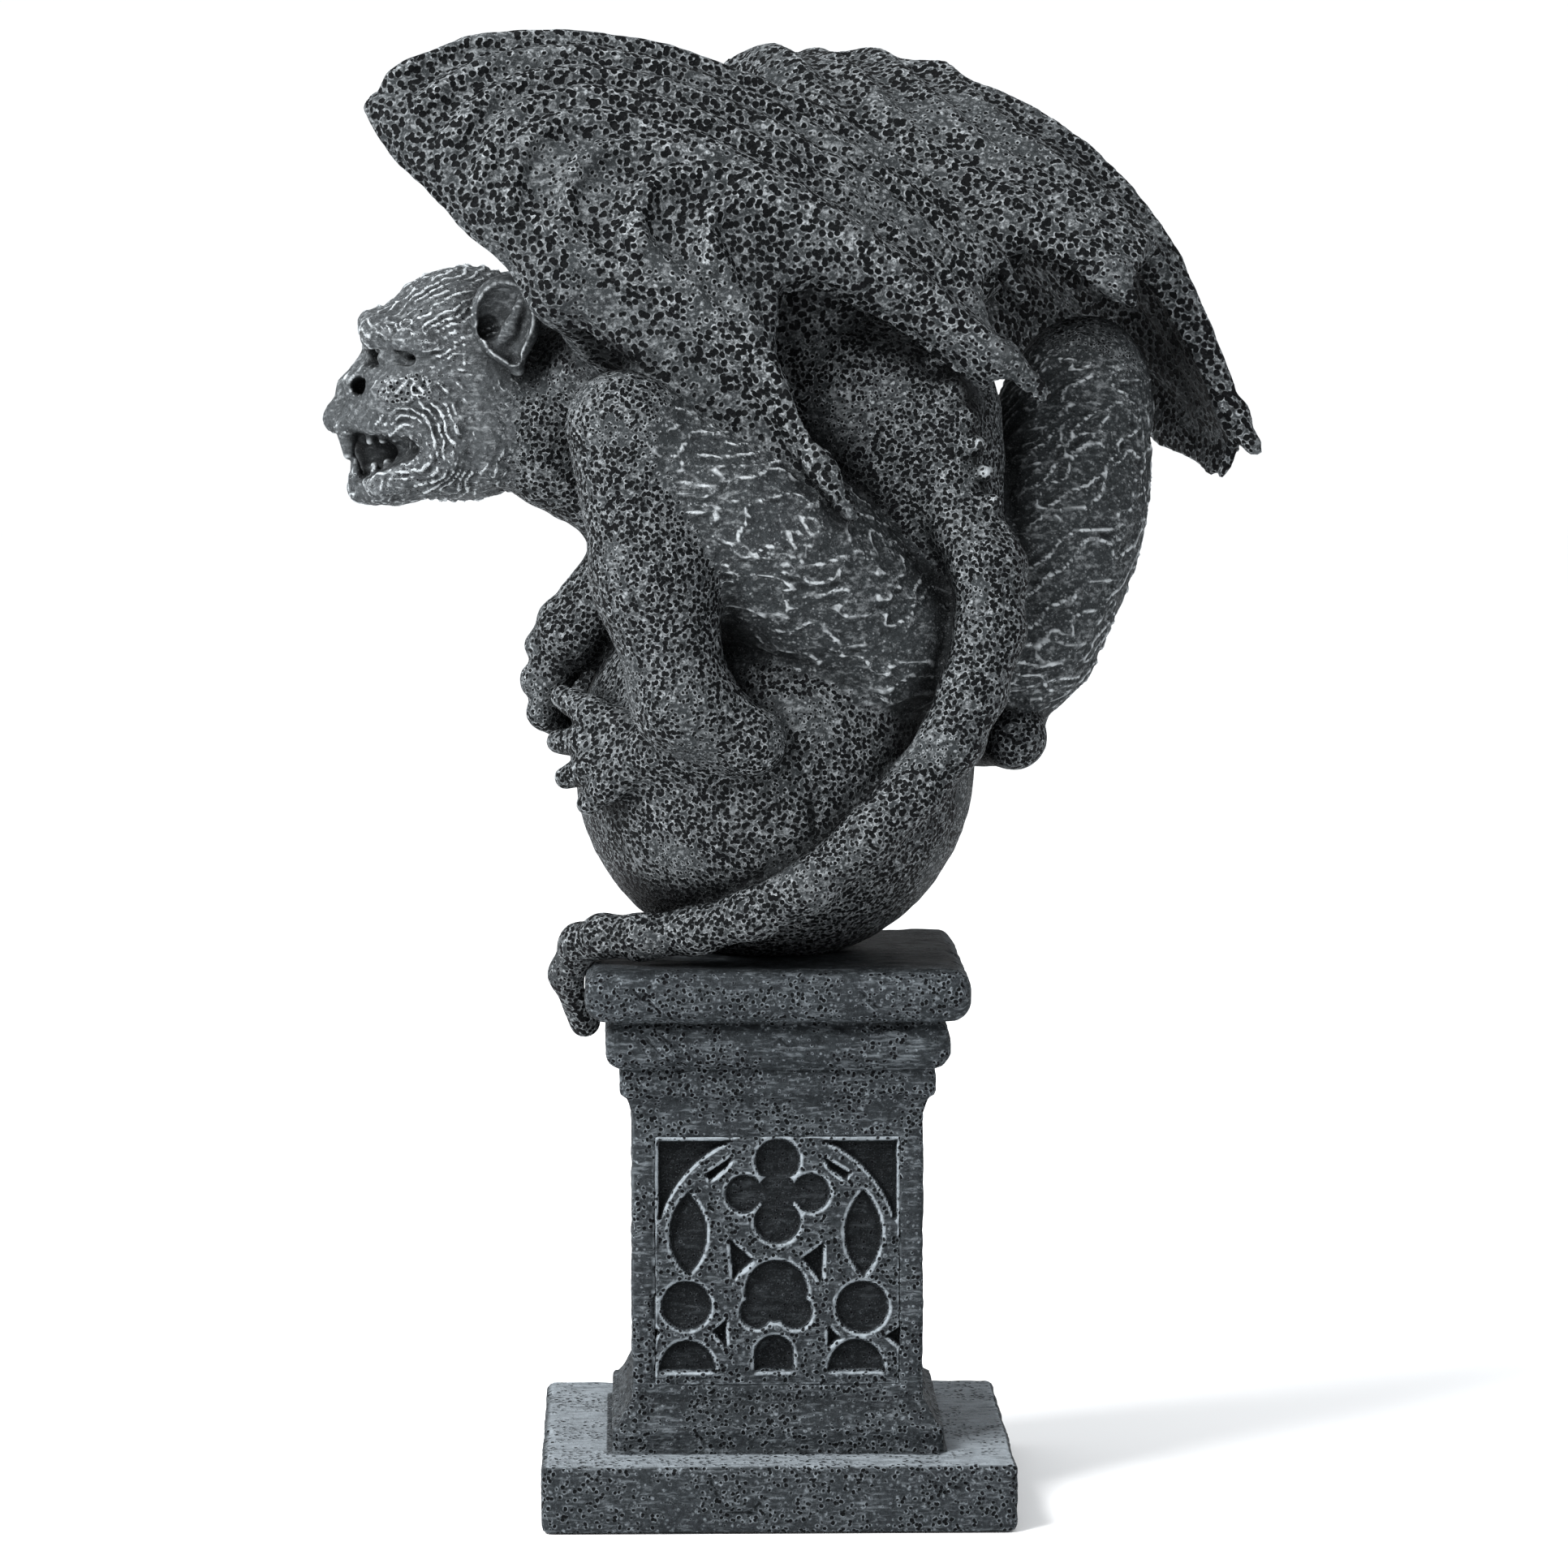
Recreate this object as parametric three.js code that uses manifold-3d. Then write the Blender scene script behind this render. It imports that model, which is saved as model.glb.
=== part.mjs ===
// Winged gargoyle crouching on a ball, cast in one piece with the ball and its own tail, on a
// square Gothic pedestal with blind tracery on its four faces. Millimetres, +Z up. The origin is
// the centre of the pedestal's underside, the gargoyle looks along -X and its back is towards +X -Y.
import * as THREE from "three";
import { mergeVertices } from "three/addons/utils/BufferGeometryUtils.js";
import Module from "manifold-3d";

// Driving dimensions of the pedestal, from the floor up. Widths are across the flats.
const slab = { width: 109, height: 15.5, corner: 2.5, round: 1.2 };
const footBand = { width: 76.6, height: 6, corner: 1.5 };
const footBevel = { height: 5.3, corner: 1.2 };
const shaft = { width: 67.3, height: 67.6, corner: 1 };
const neckFillet = { height: 3.5, reach: 1.4 };
const lowBand = { width: 72.9, height: 6.8, corner: 2, round: 1.2 };
const midBand = { width: 79.4, height: 11.3, corner: 3, round: 4.5 };
const topPlate = { width: 88.7, height: 12.2, corner: 4, round: 5 };
const seam = 0.3; // glue line between the pedestal and the casting that stands on it

// Driving dimensions of the tracery on each face of the shaft.
const panel = { width: 57.2, height: 58.4, lift: 3.6, sink: 0.7 };
const pocketDepth = 2;
const archBand = 4;

// Driving dimensions of the casting. The figure's landmarks are drawn for the master's sizes.
const ball = { diameter: 93.6, sunk: 2.6 };
const figureHeight = 166; // from the ball's middle to the highest point of the wings
const master = { ballRadius: 46.8, figureHeight: 166 };
const tail = { root: 18, tip: 7.5 }; // thickness
const shell = 6; // thickness of a wing
const castingTriangles = 6300;
const gridStep = 1.9;

const wasm = await Module();
wasm.setup();

// Solids and meshes

function solidFrom(geometry) {
  const bare = geometry.clone();
  bare.deleteAttribute("normal");
  bare.deleteAttribute("uv");
  const merged = mergeVertices(bare, 1e-4);
  return new wasm.Manifold(
    new wasm.Mesh({
      numProp: 3,
      vertProperties: merged.attributes.position.array,
      triVerts: new Uint32Array(merged.index.array),
    }),
  );
}

function geometryFrom(solid) {
  const mesh = solid.getMesh();
  const points = new Float32Array(mesh.numVert * 3);
  for (let i = 0; i < mesh.numVert; i++)
    for (let k = 0; k < 3; k++) points[3 * i + k] = mesh.vertProperties[i * mesh.numProp + k];
  const geometry = new THREE.BufferGeometry();
  geometry.setAttribute("position", new THREE.BufferAttribute(points, 3));
  geometry.setIndex(new THREE.BufferAttribute(new Uint32Array(mesh.triVerts), 1));
  geometry.computeVertexNormals();
  return geometry;
}

// Pedestal

// One level of the pedestal: a square of the given half width with rounded corners.
function squareRing(half, corner, z) {
  const ring = [];
  const steps = 3;
  for (let side = 0; side < 4; side++)
    for (let i = 0; i <= steps; i++) {
      const turn = ((side + i / steps) * Math.PI) / 2;
      const square = ((side + 0.5) * Math.PI) / 2;
      const reach = (half - corner) * Math.SQRT2;
      ring.push([
        Math.cos(square) * reach + Math.cos(turn) * corner,
        Math.sin(square) * reach + Math.sin(turn) * corner,
        z,
      ]);
    }
  return ring;
}

// Skins a pile of rings into one closed solid.
function loft(rings) {
  const count = rings[0].length;
  const points = rings.flat(2);
  const faces = [];
  for (let level = 0; level + 1 < rings.length; level++)
    for (let i = 0; i < count; i++) {
      const a = level * count + i;
      const b = level * count + ((i + 1) % count);
      faces.push(a, b, b + count, a, b + count, a + count);
    }
  const last = (rings.length - 1) * count;
  for (let i = 1; i + 1 < count; i++) {
    faces.push(0, i + 1, i);
    faces.push(last, last + i, last + i + 1);
  }
  const geometry = new THREE.BufferGeometry();
  geometry.setAttribute("position", new THREE.Float32BufferAttribute(points, 3));
  geometry.setIndex(faces);
  return solidFrom(geometry);
}

// A band with rounded upper and lower edges: its levels as [half width, corner, z].
function bandLevels(band, base, round) {
  const half = band.width / 2;
  const steps = round > 2 ? 3 : 1;
  const levels = [];
  for (let i = 0; i <= steps; i++) {
    const turn = (i / steps) * (Math.PI / 2);
    levels.push([half - round * (1 - Math.sin(turn)), band.corner, base + round * (1 - Math.cos(turn))]);
  }
  for (let i = 0; i <= steps; i++) {
    const turn = (i / steps) * (Math.PI / 2);
    const z = base + band.height - round * (1 - Math.sin(turn));
    levels.push([half - round * (1 - Math.cos(turn)), band.corner, z]);
  }
  return levels;
}

const shaftFoot = slab.height + footBand.height + footBevel.height;
const shaftTop = shaftFoot + shaft.height;
const lowBandFoot = shaftTop + neckFillet.height;
const midBandFoot = lowBandFoot + lowBand.height;
const topPlateFoot = midBandFoot + midBand.height;
const pedestalTop = topPlateFoot + topPlate.height;

function pedestalLevels() {
  const foot = footBand.width / 2;
  const stem = shaft.width / 2;
  return [
    ...bandLevels(slab, 0, slab.round),
    [foot, footBand.corner, slab.height],
    [foot, footBand.corner, slab.height + footBand.height],
    [foot - 1.3, footBand.corner, slab.height + footBand.height],
    [(foot + stem) / 2 - 0.9, footBevel.corner, slab.height + footBand.height + footBevel.height * 0.45],
    [stem + 0.6, footBevel.corner, shaftFoot],
    [stem, shaft.corner, shaftFoot],
    [stem, shaft.corner, shaftTop],
    [stem + neckFillet.reach * 0.35, shaft.corner, shaftTop + neckFillet.height * 0.65],
    [stem + neckFillet.reach, shaft.corner, lowBandFoot],
    ...bandLevels(lowBand, lowBandFoot, lowBand.round),
    ...bandLevels(midBand, midBandFoot, midBand.round),
    ...bandLevels(topPlate, topPlateFoot, topPlate.round),
  ];
}

// Tracery: outlines on a face, x from its middle and y from its foot.

// Points of an arc, about five steps for every half turn.
function arcPoints(x, y, r, from, to) {
  const steps = Math.max(3, Math.round((to - from) / (Math.PI / 5)));
  return Array.from({ length: steps + 1 }, (_, i) => {
    const turn = from + ((to - from) * i) / steps;
    return new THREE.Vector2(x + r * Math.cos(turn), y + r * Math.sin(turn));
  });
}

// An outline through the points, with none twice where arcs meet or the outline closes.
function outlineOf(points) {
  const kept = points.filter((p, i) => p.distanceTo(points[(i + 1) % points.length]) > 0.05);
  return new THREE.Shape(kept);
}

function circleOutline(x, y, r, from = 0, to = 2 * Math.PI) {
  return outlineOf(arcPoints(x, y, r, from, to));
}

// A foil of several equal lobes about a middle, as one outline.
function foilOutline(x, y, lobes, offset, r, start) {
  const half = Math.PI / lobes;
  // Half of the arc that a lobe shows before it meets the next one.
  const meet = Math.PI / 2 + half - Math.acos(Math.min(1, (offset * Math.sin(half)) / r));
  const points = [];
  for (let i = 0; i < lobes; i++) {
    const aim = start + 2 * half * i;
    const cx = x + offset * Math.cos(aim);
    const cy = y + offset * Math.sin(aim);
    points.push(...arcPoints(cx, cy, r, aim - meet, aim + meet));
  }
  return outlineOf(points);
}

// A pointed oval: two arcs that meet above and below.
function vesicaOutline(x, y, halfWidth, halfHeight) {
  const r = (halfHeight ** 2 + halfWidth ** 2) / (2 * halfWidth);
  const turn = Math.asin(halfHeight / r);
  return outlineOf([
    ...arcPoints(x + halfWidth - r, y, r, -turn, turn),
    ...arcPoints(x - halfWidth + r, y, r, Math.PI - turn, Math.PI + turn),
  ]);
}

// A triangle with hollow sides, bulge inward as a share of the side.
function hollowTriangle(corners, hollow) {
  const middle = [0, 1].map((k) => (corners[0][k] + corners[1][k] + corners[2][k]) / 3);
  const points = [];
  for (let i = 0; i < 3; i++) {
    const a = corners[i];
    const b = corners[(i + 1) % 3];
    const bend = [0, 1].map((k) => (a[k] + b[k]) / 2 + hollow * (middle[k] - (a[k] + b[k]) / 2));
    points.push(new THREE.Vector2(...a), new THREE.Vector2(...bend));
  }
  return outlineOf(points);
}

// The spandrel between the arch and a top corner of the panel.
function spandrelOutline(side, archFoot, archRadius) {
  const edge = panel.width / 2 - 1.2;
  const top = panel.height - 1.2;
  const r = archRadius + 0.6;
  const low = 0.62;
  const high = Math.asin(Math.min(1, (top - archFoot) / r));
  const rise = arcPoints(0, archFoot, r, low, high);
  return outlineOf([
    new THREE.Vector2(side * edge, rise[0].y),
    ...rise.map((p) => new THREE.Vector2(side * p.x, p.y)),
    new THREE.Vector2(side * edge, top),
  ]);
}

function traceryOutlines() {
  const reach = panel.width / 2;
  const archRadius = reach - 0.8;
  const archFoot = panel.height - archRadius + 0.4;
  const row = panel.height;
  const side = reach * 0.69;
  const pane = { halfWidth: reach * 0.15, halfHeight: row * 0.158, y: row * 0.6 };
  const eye = { r: reach * 0.212, y: row * 0.301 };
  const foil = { y: row * 0.767, offset: reach * 0.25, r: reach * 0.182 };
  const trefoil = { y: row * 0.34, offset: reach * 0.16, r: reach * 0.175 };
  const low = { y: row * 0.038, r: reach * 0.225 };
  const bar = archBand;
  const outlines = [
    foilOutline(0, foil.y, 4, foil.offset, foil.r, Math.PI / 2),
    foilOutline(0, trefoil.y, 3, trefoil.offset, trefoil.r, Math.PI / 2),
    circleOutline(0, low.y + 1.2, reach * 0.195, 0, Math.PI),
  ];
  for (const s of [-1, 1]) {
    outlines.push(
      vesicaOutline(s * side, pane.y, pane.halfWidth, pane.halfHeight),
      circleOutline(s * side, eye.y, eye.r),
      circleOutline(s * side, low.y, low.r, 0, Math.PI),
      spandrelOutline(s, archFoot, archRadius),
      hollowTriangle(
        [
          [s * (side - bar * 2), foil.y + row * 0.13],
          [s * (side - bar * 2.6), foil.y + row * 0.05],
          [s * (side - bar * 0.55), foil.y + row * 0.03],
        ].sort((a, b) => s * (b[0] - a[0])),
        0.25,
      ),
      hollowTriangle(
        [
          [s * reach * 0.4, row * 0.475],
          [s * reach * 0.17, row * 0.475],
          [s * reach * 0.3, row * 0.58],
        ],
        0.3,
      ),
      hollowTriangle(
        [
          [s * reach * 0.34, low.y],
          [s * reach * 0.26, low.y + row * 0.1],
          [s * reach * 0.44, low.y + row * 0.1],
        ],
        0.25,
      ),
    );
  }
  return outlines;
}

// Stands an outline on one face of the shaft as a cutter that goes in by the given depth.
function faceCutter(shape, face, depth, from) {
  const over = 1;
  const geometry = new THREE.ExtrudeGeometry(shape, {
    depth: depth + from + over,
    bevelEnabled: false,
  });
  geometry.rotateX(Math.PI / 2);
  geometry.translate(0, -(shaft.width / 2 - from - depth), shaftFoot + panel.lift);
  geometry.rotateZ((face * Math.PI) / 2);
  return solidFrom(geometry);
}

function panelOutline() {
  const shape = new THREE.Shape();
  const half = panel.width / 2;
  shape.moveTo(-half, 0);
  shape.lineTo(half, 0);
  shape.lineTo(half, panel.height);
  shape.lineTo(-half, panel.height);
  shape.closePath();
  return shape;
}

function pedestalSolid() {
  let solid = loft(pedestalLevels().map(([half, corner, z]) => squareRing(half, corner, z)));
  const pockets = traceryOutlines();
  for (let face = 0; face < 4; face++) {
    solid = solid.subtract(faceCutter(panelOutline(), face, panel.sink, 0));
    for (const outline of pockets) solid = solid.subtract(faceCutter(outline, face, pocketDepth, panel.sink));
  }
  return solid;
}

// The capital grown by the seam, which the casting is cut to.
function capitalClearance() {
  const grown = (band) => ({ ...band, width: band.width + 2 * seam, height: band.height + 2 * seam });
  const levels = [
    ...bandLevels(grown(lowBand), lowBandFoot - seam, lowBand.round),
    ...bandLevels(grown(midBand), midBandFoot - seam, midBand.round),
    ...bandLevels(grown(topPlate), topPlateFoot - seam, topPlate.round),
  ];
  let height = -Infinity;
  const rising = levels.map(([half, corner, z]) => {
    height = Math.max(height + 1e-3, z);
    return squareRing(half, corner, height);
  });
  return loft(rising);
}

// Free form: every form is a function (x, y, z) that is negative inside and about the distance
// to its surface elsewhere, with a ball (middle and reach) that holds it. The casting is a blend
// of such forms, and a form too far off to matter at a point is passed over there.

const add = (a, b, t = 1) => a.map((v, k) => v + t * b[k]);
const minus = (a, b) => a.map((v, k) => v - b[k]);
const dot = (a, b) => a[0] * b[0] + a[1] * b[1] + a[2] * b[2];
const unit = (a) => a.map((v) => v / Math.hypot(...a));
const cross = (a, b) => [a[1] * b[2] - a[2] * b[1], a[2] * b[0] - a[0] * b[2], a[0] * b[1] - a[1] * b[0]];
const clamp = (v, low, high) => Math.min(high, Math.max(low, v));
const lerp = (a, b, t) => a + (b - a) * t;

function held(form, middle, reach) {
  form.middle = middle;
  form.reach = reach;
  return form;
}

// How far a point is from the ball that holds a form.
function gap(form, x, y, z) {
  const dx = x - form.middle[0];
  const dy = y - form.middle[1];
  const dz = z - form.middle[2];
  return Math.sqrt(dx * dx + dy * dy + dz * dz) - form.reach;
}

// A limb that tapers from radius ra at a to radius rb at b.
function limb(a, ra, b, rb) {
  const [ax, ay, az] = a;
  const [bx, by, bz] = minus(b, a);
  const length2 = bx * bx + by * by + bz * bz;
  const form = (x, y, z) => {
    const px = x - ax;
    const py = y - ay;
    const pz = z - az;
    const h = Math.min(1, Math.max(0, (px * bx + py * by + pz * bz) / length2));
    const dx = px - bx * h;
    const dy = py - by * h;
    const dz = pz - bz * h;
    return Math.sqrt(dx * dx + dy * dy + dz * dz) - ra - (rb - ra) * h;
  };
  return held(form, [ax + bx / 2, ay + by / 2, az + bz / 2], Math.sqrt(length2) / 2 + Math.max(ra, rb));
}

function chain(points, radii) {
  return blend(
    size(3),
    points.slice(1).map((p, i) => limb(points[i], radii[i], p, radii[i + 1])),
  );
}

// An ellipsoid with radii along an axis, across it and along the third direction.
function oval(centre, radii, axis = [1, 0, 0], across = [0, 1, 0]) {
  const u = unit(axis);
  const v = unit(minus(across, u.map((k) => k * dot(across, u))));
  const w = cross(u, v);
  const [cx, cy, cz] = centre;
  const [ra, rb, rc] = radii;
  const form = (x, y, z) => {
    const px = x - cx;
    const py = y - cy;
    const pz = z - cz;
    const a = (px * u[0] + py * u[1] + pz * u[2]) / ra;
    const b = (px * v[0] + py * v[1] + pz * v[2]) / rb;
    const c = (px * w[0] + py * w[1] + pz * w[2]) / rc;
    const near = Math.sqrt(a * a + b * b + c * c);
    if (near < 1e-6) return -Math.min(ra, rb, rc);
    return (near * (near - 1)) / Math.sqrt((a / ra) ** 2 + (b / rb) ** 2 + (c / rc) ** 2);
  };
  return held(form, centre, Math.max(ra, rb, rc));
}

function softMin(a, b, k) {
  const h = Math.max(k - Math.abs(a - b), 0) / k;
  return Math.min(a, b) - h * h * k * 0.25;
}

function blend(k, forms) {
  const middle = [0, 1, 2].map((i) => forms.reduce((sum, f) => sum + f.middle[i], 0) / forms.length);
  const reach = Math.max(...forms.map((f) => Math.hypot(...minus(f.middle, middle)) + f.reach)) + k / 4;
  const form = (x, y, z) => {
    let d = 1e3;
    for (const f of forms) if (gap(f, x, y, z) < d + k) d = softMin(d, f(x, y, z), k);
    return d;
  };
  return held(form, middle, reach);
}

function carve(k, body, tool) {
  const form = (x, y, z) => {
    const d = body(x, y, z);
    return gap(tool, x, y, z) > k - d ? d : -softMin(-d, tool(x, y, z), k);
  };
  return held(form, body.middle, body.reach);
}

// Landmarks of the figure, in millimetres from the ball's middle on the master. What is above
// the ball's surface keeps to it when the ball or the figure changes its size.
const ballRadius = ball.diameter / 2;
const ballMiddle = pedestalTop + ballRadius - ball.sunk;
const scale = (figureHeight - ballRadius) / (master.figureHeight - master.ballRadius);
const size = (r) => r * scale;
const at = (x, y, z) => {
  const from = Math.hypot(x, y, z);
  const share = from < master.ballRadius ? ballRadius / master.ballRadius : (ballRadius + size(from - master.ballRadius)) / from;
  return [x * share, y * share, ballMiddle + z * share];
};
// A point by the left edge of the capital, so far out, across and above its top.
const byCapital = (out, across, above) => [-topPlate.width / 2 - size(out), size(across), pedestalTop + size(above)];

const hip = { near: at(25, -23, 30), far: at(57, 4, 30) };
const knee = { near: at(-35, -41, 80), far: at(75, 33, 90) };
const ankle = { near: at(-22, -48, 18), far: at(55, 20, 16) };
const heel = { near: at(-6, -49, 9), far: at(56, -3, 6) };
const shoulder = { near: at(-42, -2, 90), far: at(-26, 44, 90) };
const deltoid = { near: at(-56.5, 1, 79), far: at(-38, 50, 78) };
const wrist = { near: at(-39, 2, 39), far: at(-33, 30, 38) };
const pelvis = at(34, -7, 34);
const loin = at(27, -4, 62);
const chest = at(-4, 10, 88);
const headMiddle = at(-76.8, 8, 88.2);

// Carved waves of fur: a ripple across a thigh, running over the limb's length.
function furRipple(form, from, to, depth) {
  const along = unit(minus(to, from));
  const side = unit(cross(along, [0, 0, 1]));
  const up = cross(side, along);
  const rippled = (x, y, z) => {
    const d = form(x, y, z);
    if (d > 4 || d < -4) return d;
    const p = [x - from[0], y - from[1], z - from[2]];
    const s = dot(p, along) / scale;
    const a = dot(p, side) / scale;
    const b = dot(p, up) / scale;
    const fade = clamp((s - 8) / 14, 0, 1);
    const wave = Math.sin(s * 0.72 + 1.7 * Math.sin(a * 0.13 + 1) + 1.3 * Math.sin(b * 0.17) + 0.6 * Math.sin(s * 0.3 + a * 0.5));
    return d - depth * fade * wave;
  };
  return held(rippled, form.middle, form.reach + depth);
}

function legForm(which) {
  const thigh = blend(size(10), [
    limb(add(knee[which], minus(hip[which], knee[which]), 0.1), size(which === "far" ? 17.5 : 14.5), hip[which], size(19.5)),
    oval(
      add(knee[which], minus(hip[which], knee[which]), 0.58),
      [size(34), size(21), size(22)],
      minus(hip[which], knee[which]),
      [0, 0, 1],
    ),
  ]);
  const calf = add(knee[which], minus(ankle[which], knee[which]), 0.55);
  const shin = blend(size(6), [
    limb(knee[which], size(13.2), calf, size(13.6)),
    limb(calf, size(13.6), ankle[which], size(10.5)),
    limb(ankle[which], size(10.5), heel[which], size(7.4)),
  ]);
  return blend(size(4), [furRipple(thigh, knee[which], hip[which], size(0.5)), shin]);
}

// A foot whose toes fan out over the ball, each ending in a blunt claw.
function footForm(from, tips, rootShare) {
  const forms = [];
  const sole = tips.reduce((sum, tip) => add(sum, tip, 1 / tips.length), [0, 0, 0]);
  const root = add(from, minus(sole, from), rootShare);
  forms.push(limb(from, size(7), root, size(7.6)));
  for (const tip of tips) {
    const joint = add(add(root, minus(tip, root), 0.62), unit(minus(tip, [0, 0, ballMiddle])), size(1.6));
    forms.push(limb(add(root, minus(tip, root), 0.15), size(4.4), joint, size(4.1)));
    forms.push(limb(joint, size(3.9), tip, size(2.7)));
  }
  return blend(size(2.4), forms);
}

// A fist that grips the ball: palm, four fingers with knuckles, and a clawed thumb.
function handForm(from, palm, knuckles, reachIn) {
  const forms = [limb(from, size(9.4), palm, size(9.2))];
  for (const knuckle of knuckles) {
    forms.push(limb(palm, size(4.5), knuckle, size(4)));
    forms.push(limb(knuckle, size(3.9), add(knuckle, reachIn), size(2.8)));
  }
  return blend(size(2.2), forms);
}

function bodyForm() {
  const back = [at(40, -27, 66), at(40, -20, 84), at(26, -14, 97)];
  const torso = blend(size(16), [
    oval(pelvis, [size(25), size(25), size(24)]),
    oval(loin, [size(27), size(24), size(25)], [0.5, -0.3, 0.8], [0.6, 0.8, 0]),
    oval(chest, [size(36), size(27), size(25)], [0.78, -0.3, 0.25], [0.3, 0.8, 0]),
    oval(at(25, 0, 84), [size(26), size(25), size(22)]),
  ]);
  const arms = ["near", "far"].map((which) =>
    blend(size(6), [
      limb(chest, size(16), shoulder[which], size(12.5)),
      limb(shoulder[which], size(11.5), deltoid[which], size(11)),
      limb(deltoid[which], size(10.8), add(deltoid[which], [size(4), 0, size(-9)]), size(9.5)),
      limb(add(deltoid[which], [size(4), 0, size(-8)]), size(9.5), add(wrist[which], [size(8), 0, size(14)]), size(8)),
      limb(add(wrist[which], [size(8), 0, size(14)]), size(8), wrist[which], size(8.5)),
    ]),
  );
  const neck = limb(at(-30, 12, 93), size(17), at(-58, 9, 91), size(14.5));
  // The knobs of the backbone, down to the root of the tail.
  const knobs = [0, 1, 2, 3, 4, 5, 6].map((i) => {
    const t = i / 6;
    const spine = at(lerp(50, 37.5, t ** 1.5), lerp(-33.5, -21.5, t), lerp(56, 95, t));
    return oval(spine, [size(2.6), size(2.6), size(2.1)]);
  });
  const ridge = limb(back[0], size(5), back[1], size(5));
  return blend(size(3), [blend(size(7), [torso, ridge, neck, ...arms]), ...knobs]);
}

function tailForm() {
  const route = [
    at(42, -26, 58),
    at(48.5, -34, 47),
    at(48.4, -38, 33),
    at(44.6, -40.5, 20),
    at(39.5, -42, 8.5),
    at(31.5, -42.5, -2),
    at(20.4, -45, -13),
    at(7.5, -45, -24),
    at(-5.4, -41.5, -31),
    at(-18.4, -36, -35.6),
    at(-31.4, -31, -37.8),
    byCapital(-4.35, -26, 6.2),
    byCapital(1.15, -20, 3.7),
    byCapital(4.05, -15, -3.8),
    byCapital(0.15, -8, -15.8),
  ];
  const radii = route.map((_, i) => lerp(tail.root, tail.tip, (i / (route.length - 1)) ** 0.8) / 2);
  return chain(route, radii);
}

// The head looks along -X. Its own directions: f forward, s to its left and right, z up.
function headForm() {
  const h = (f, s, z) => [headMiddle[0] - size(f), headMiddle[1] + size(s), headMiddle[2] + size(z)];
  const egg = (f, s, z, rf, rs, rz) => oval(h(f, s, z), [size(rf), size(rs), size(rz)]);
  const both = (make) => [make(-1), make(1)];
  const skull = blend(size(7), [
    egg(-5, 0, 7.5, 22, 19, 20),
    egg(-12, 0, -2, 18, 17, 17),
    egg(5, 0, -3, 17, 16.5, 13),
    limb(h(-10, -9, -14), size(10), h(8, -6, -19.5), size(6.6)),
    limb(h(-10, 9, -14), size(10), h(8, 6, -19.5), size(6.6)),
  ]);
  const muzzle = blend(size(4), [
    egg(14, 0, -3.5, 12.5, 12.5, 8),
    ...both((s) => limb(h(23, 0, -7.6), size(3.9), h(14, s * 10.5, -8), size(3.8))),
    ...both((s) => limb(h(14, s * 10.5, -8), size(3.4), h(5.5, s * 13.8, -13.5), size(3))),
    egg(9, -11, 0, 8, 6.5, 5.5),
    egg(9, 11, 0, 8, 6.5, 5.5),
  ]);
  const jaw = blend(size(3), [
    egg(14.5, 0, -23.5, 8.5, 9.5, 5.2),
    ...both((s) => limb(h(16.5, s * 6, -21.5), size(4.4), h(4.5, s * 11.5, -18), size(4.6))),
    egg(-3, 0, -21, 15, 12, 6.2),
  ]);
  const brow = blend(size(3), [
    ...both((s) => limb(h(16, s * 2, 13.5), size(4), h(14.5, s * 10, 12.5), size(4))),
    ...both((s) => limb(h(14.5, s * 10, 12.5), size(3.8), h(6, s * 16, 9), size(2.6))),
  ]);
  const nose = blend(size(1.6), [
    limb(h(16.5, 0, 7.5), size(2.6), h(20.3, 0, 1.4), size(3.4)),
    ...both((s) => egg(19.5, s * 3.6, 0.2, 3.2, 2.4, 2.6)),
  ]);
  const bulk = blend(size(2.4), [blend(size(3.4), [skull, muzzle, jaw, brow]), nose]);
  const mouth = blend(size(2), [
    egg(18, 0, -15, 11, 8.6, 4.4),
    ...both((s) => limb(h(18, s * 7, -15), size(4.2), h(8, s * 13, -14.6), size(2.4))),
  ]);
  const sockets = blend(size(1), both((s) => egg(13.5, s * 12, 6.4, 5.5, 5, 3.6)));
  const nostrils = blend(size(0.5), both((s) => egg(21.4, s * 3.6, -0.2, 1.8, 1.2, 1.4)));
  const tongue = egg(7, 0, -17, 10.5, 7.5, 4.6);
  let form = blend(size(1), [carve(size(1.6), bulk, mouth), tongue]);
  form = carve(size(1.4), form, sockets);
  form = carve(size(0.8), form, nostrils);
  const eyes = both((s) => egg(11, s * 11.6, 6.2, 4, 3.6, 3.2));
  const teeth = [];
  for (const s of [-1, 1]) {
    teeth.push(limb(h(22.5, s * 4.8, -10), size(2.2), h(21.6, s * 5.2, -17.4), size(1)));
    teeth.push(limb(h(17.5, s * 6.4, -19.8), size(2), h(18, s * 6.6, -14.8), size(0.9)));
    for (let i = 0; i < 3; i++) {
      const f = 15.5 - 3.4 * i;
      const out = s * (9 + 0.95 * i);
      teeth.push(limb(h(f, out, -10.6), size(1.5), h(f, out, -13.2), size(1.3)));
      teeth.push(limb(h(f - 1.2, out - s * 0.6, -18.6), size(1.5), h(f - 1.2, out - s * 0.6, -16.6), size(1.2)));
    }
  }
  form = blend(size(0.8), [form, ...eyes, ...teeth]);
  // Large cupped ears that stand out from the head.
  for (const s of [-1, 1]) {
    const bowl = oval(h(-15.8, s * 21, 12.6), [size(9.6), size(10.8), size(4.6)], [1, s * 0.42, 0.1], [0, 0, 1]);
    const hollow = oval(h(-14.6, s * 25, 13), [size(7.6), size(8.6), size(5.2)], [1, s * 0.42, 0.1], [0, 0, 1]);
    form = blend(size(1.6), [form, carve(size(1), bowl, hollow)]);
    form = carve(size(0.8), form, hollow);
  }
  return form;
}

// Wings

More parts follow.
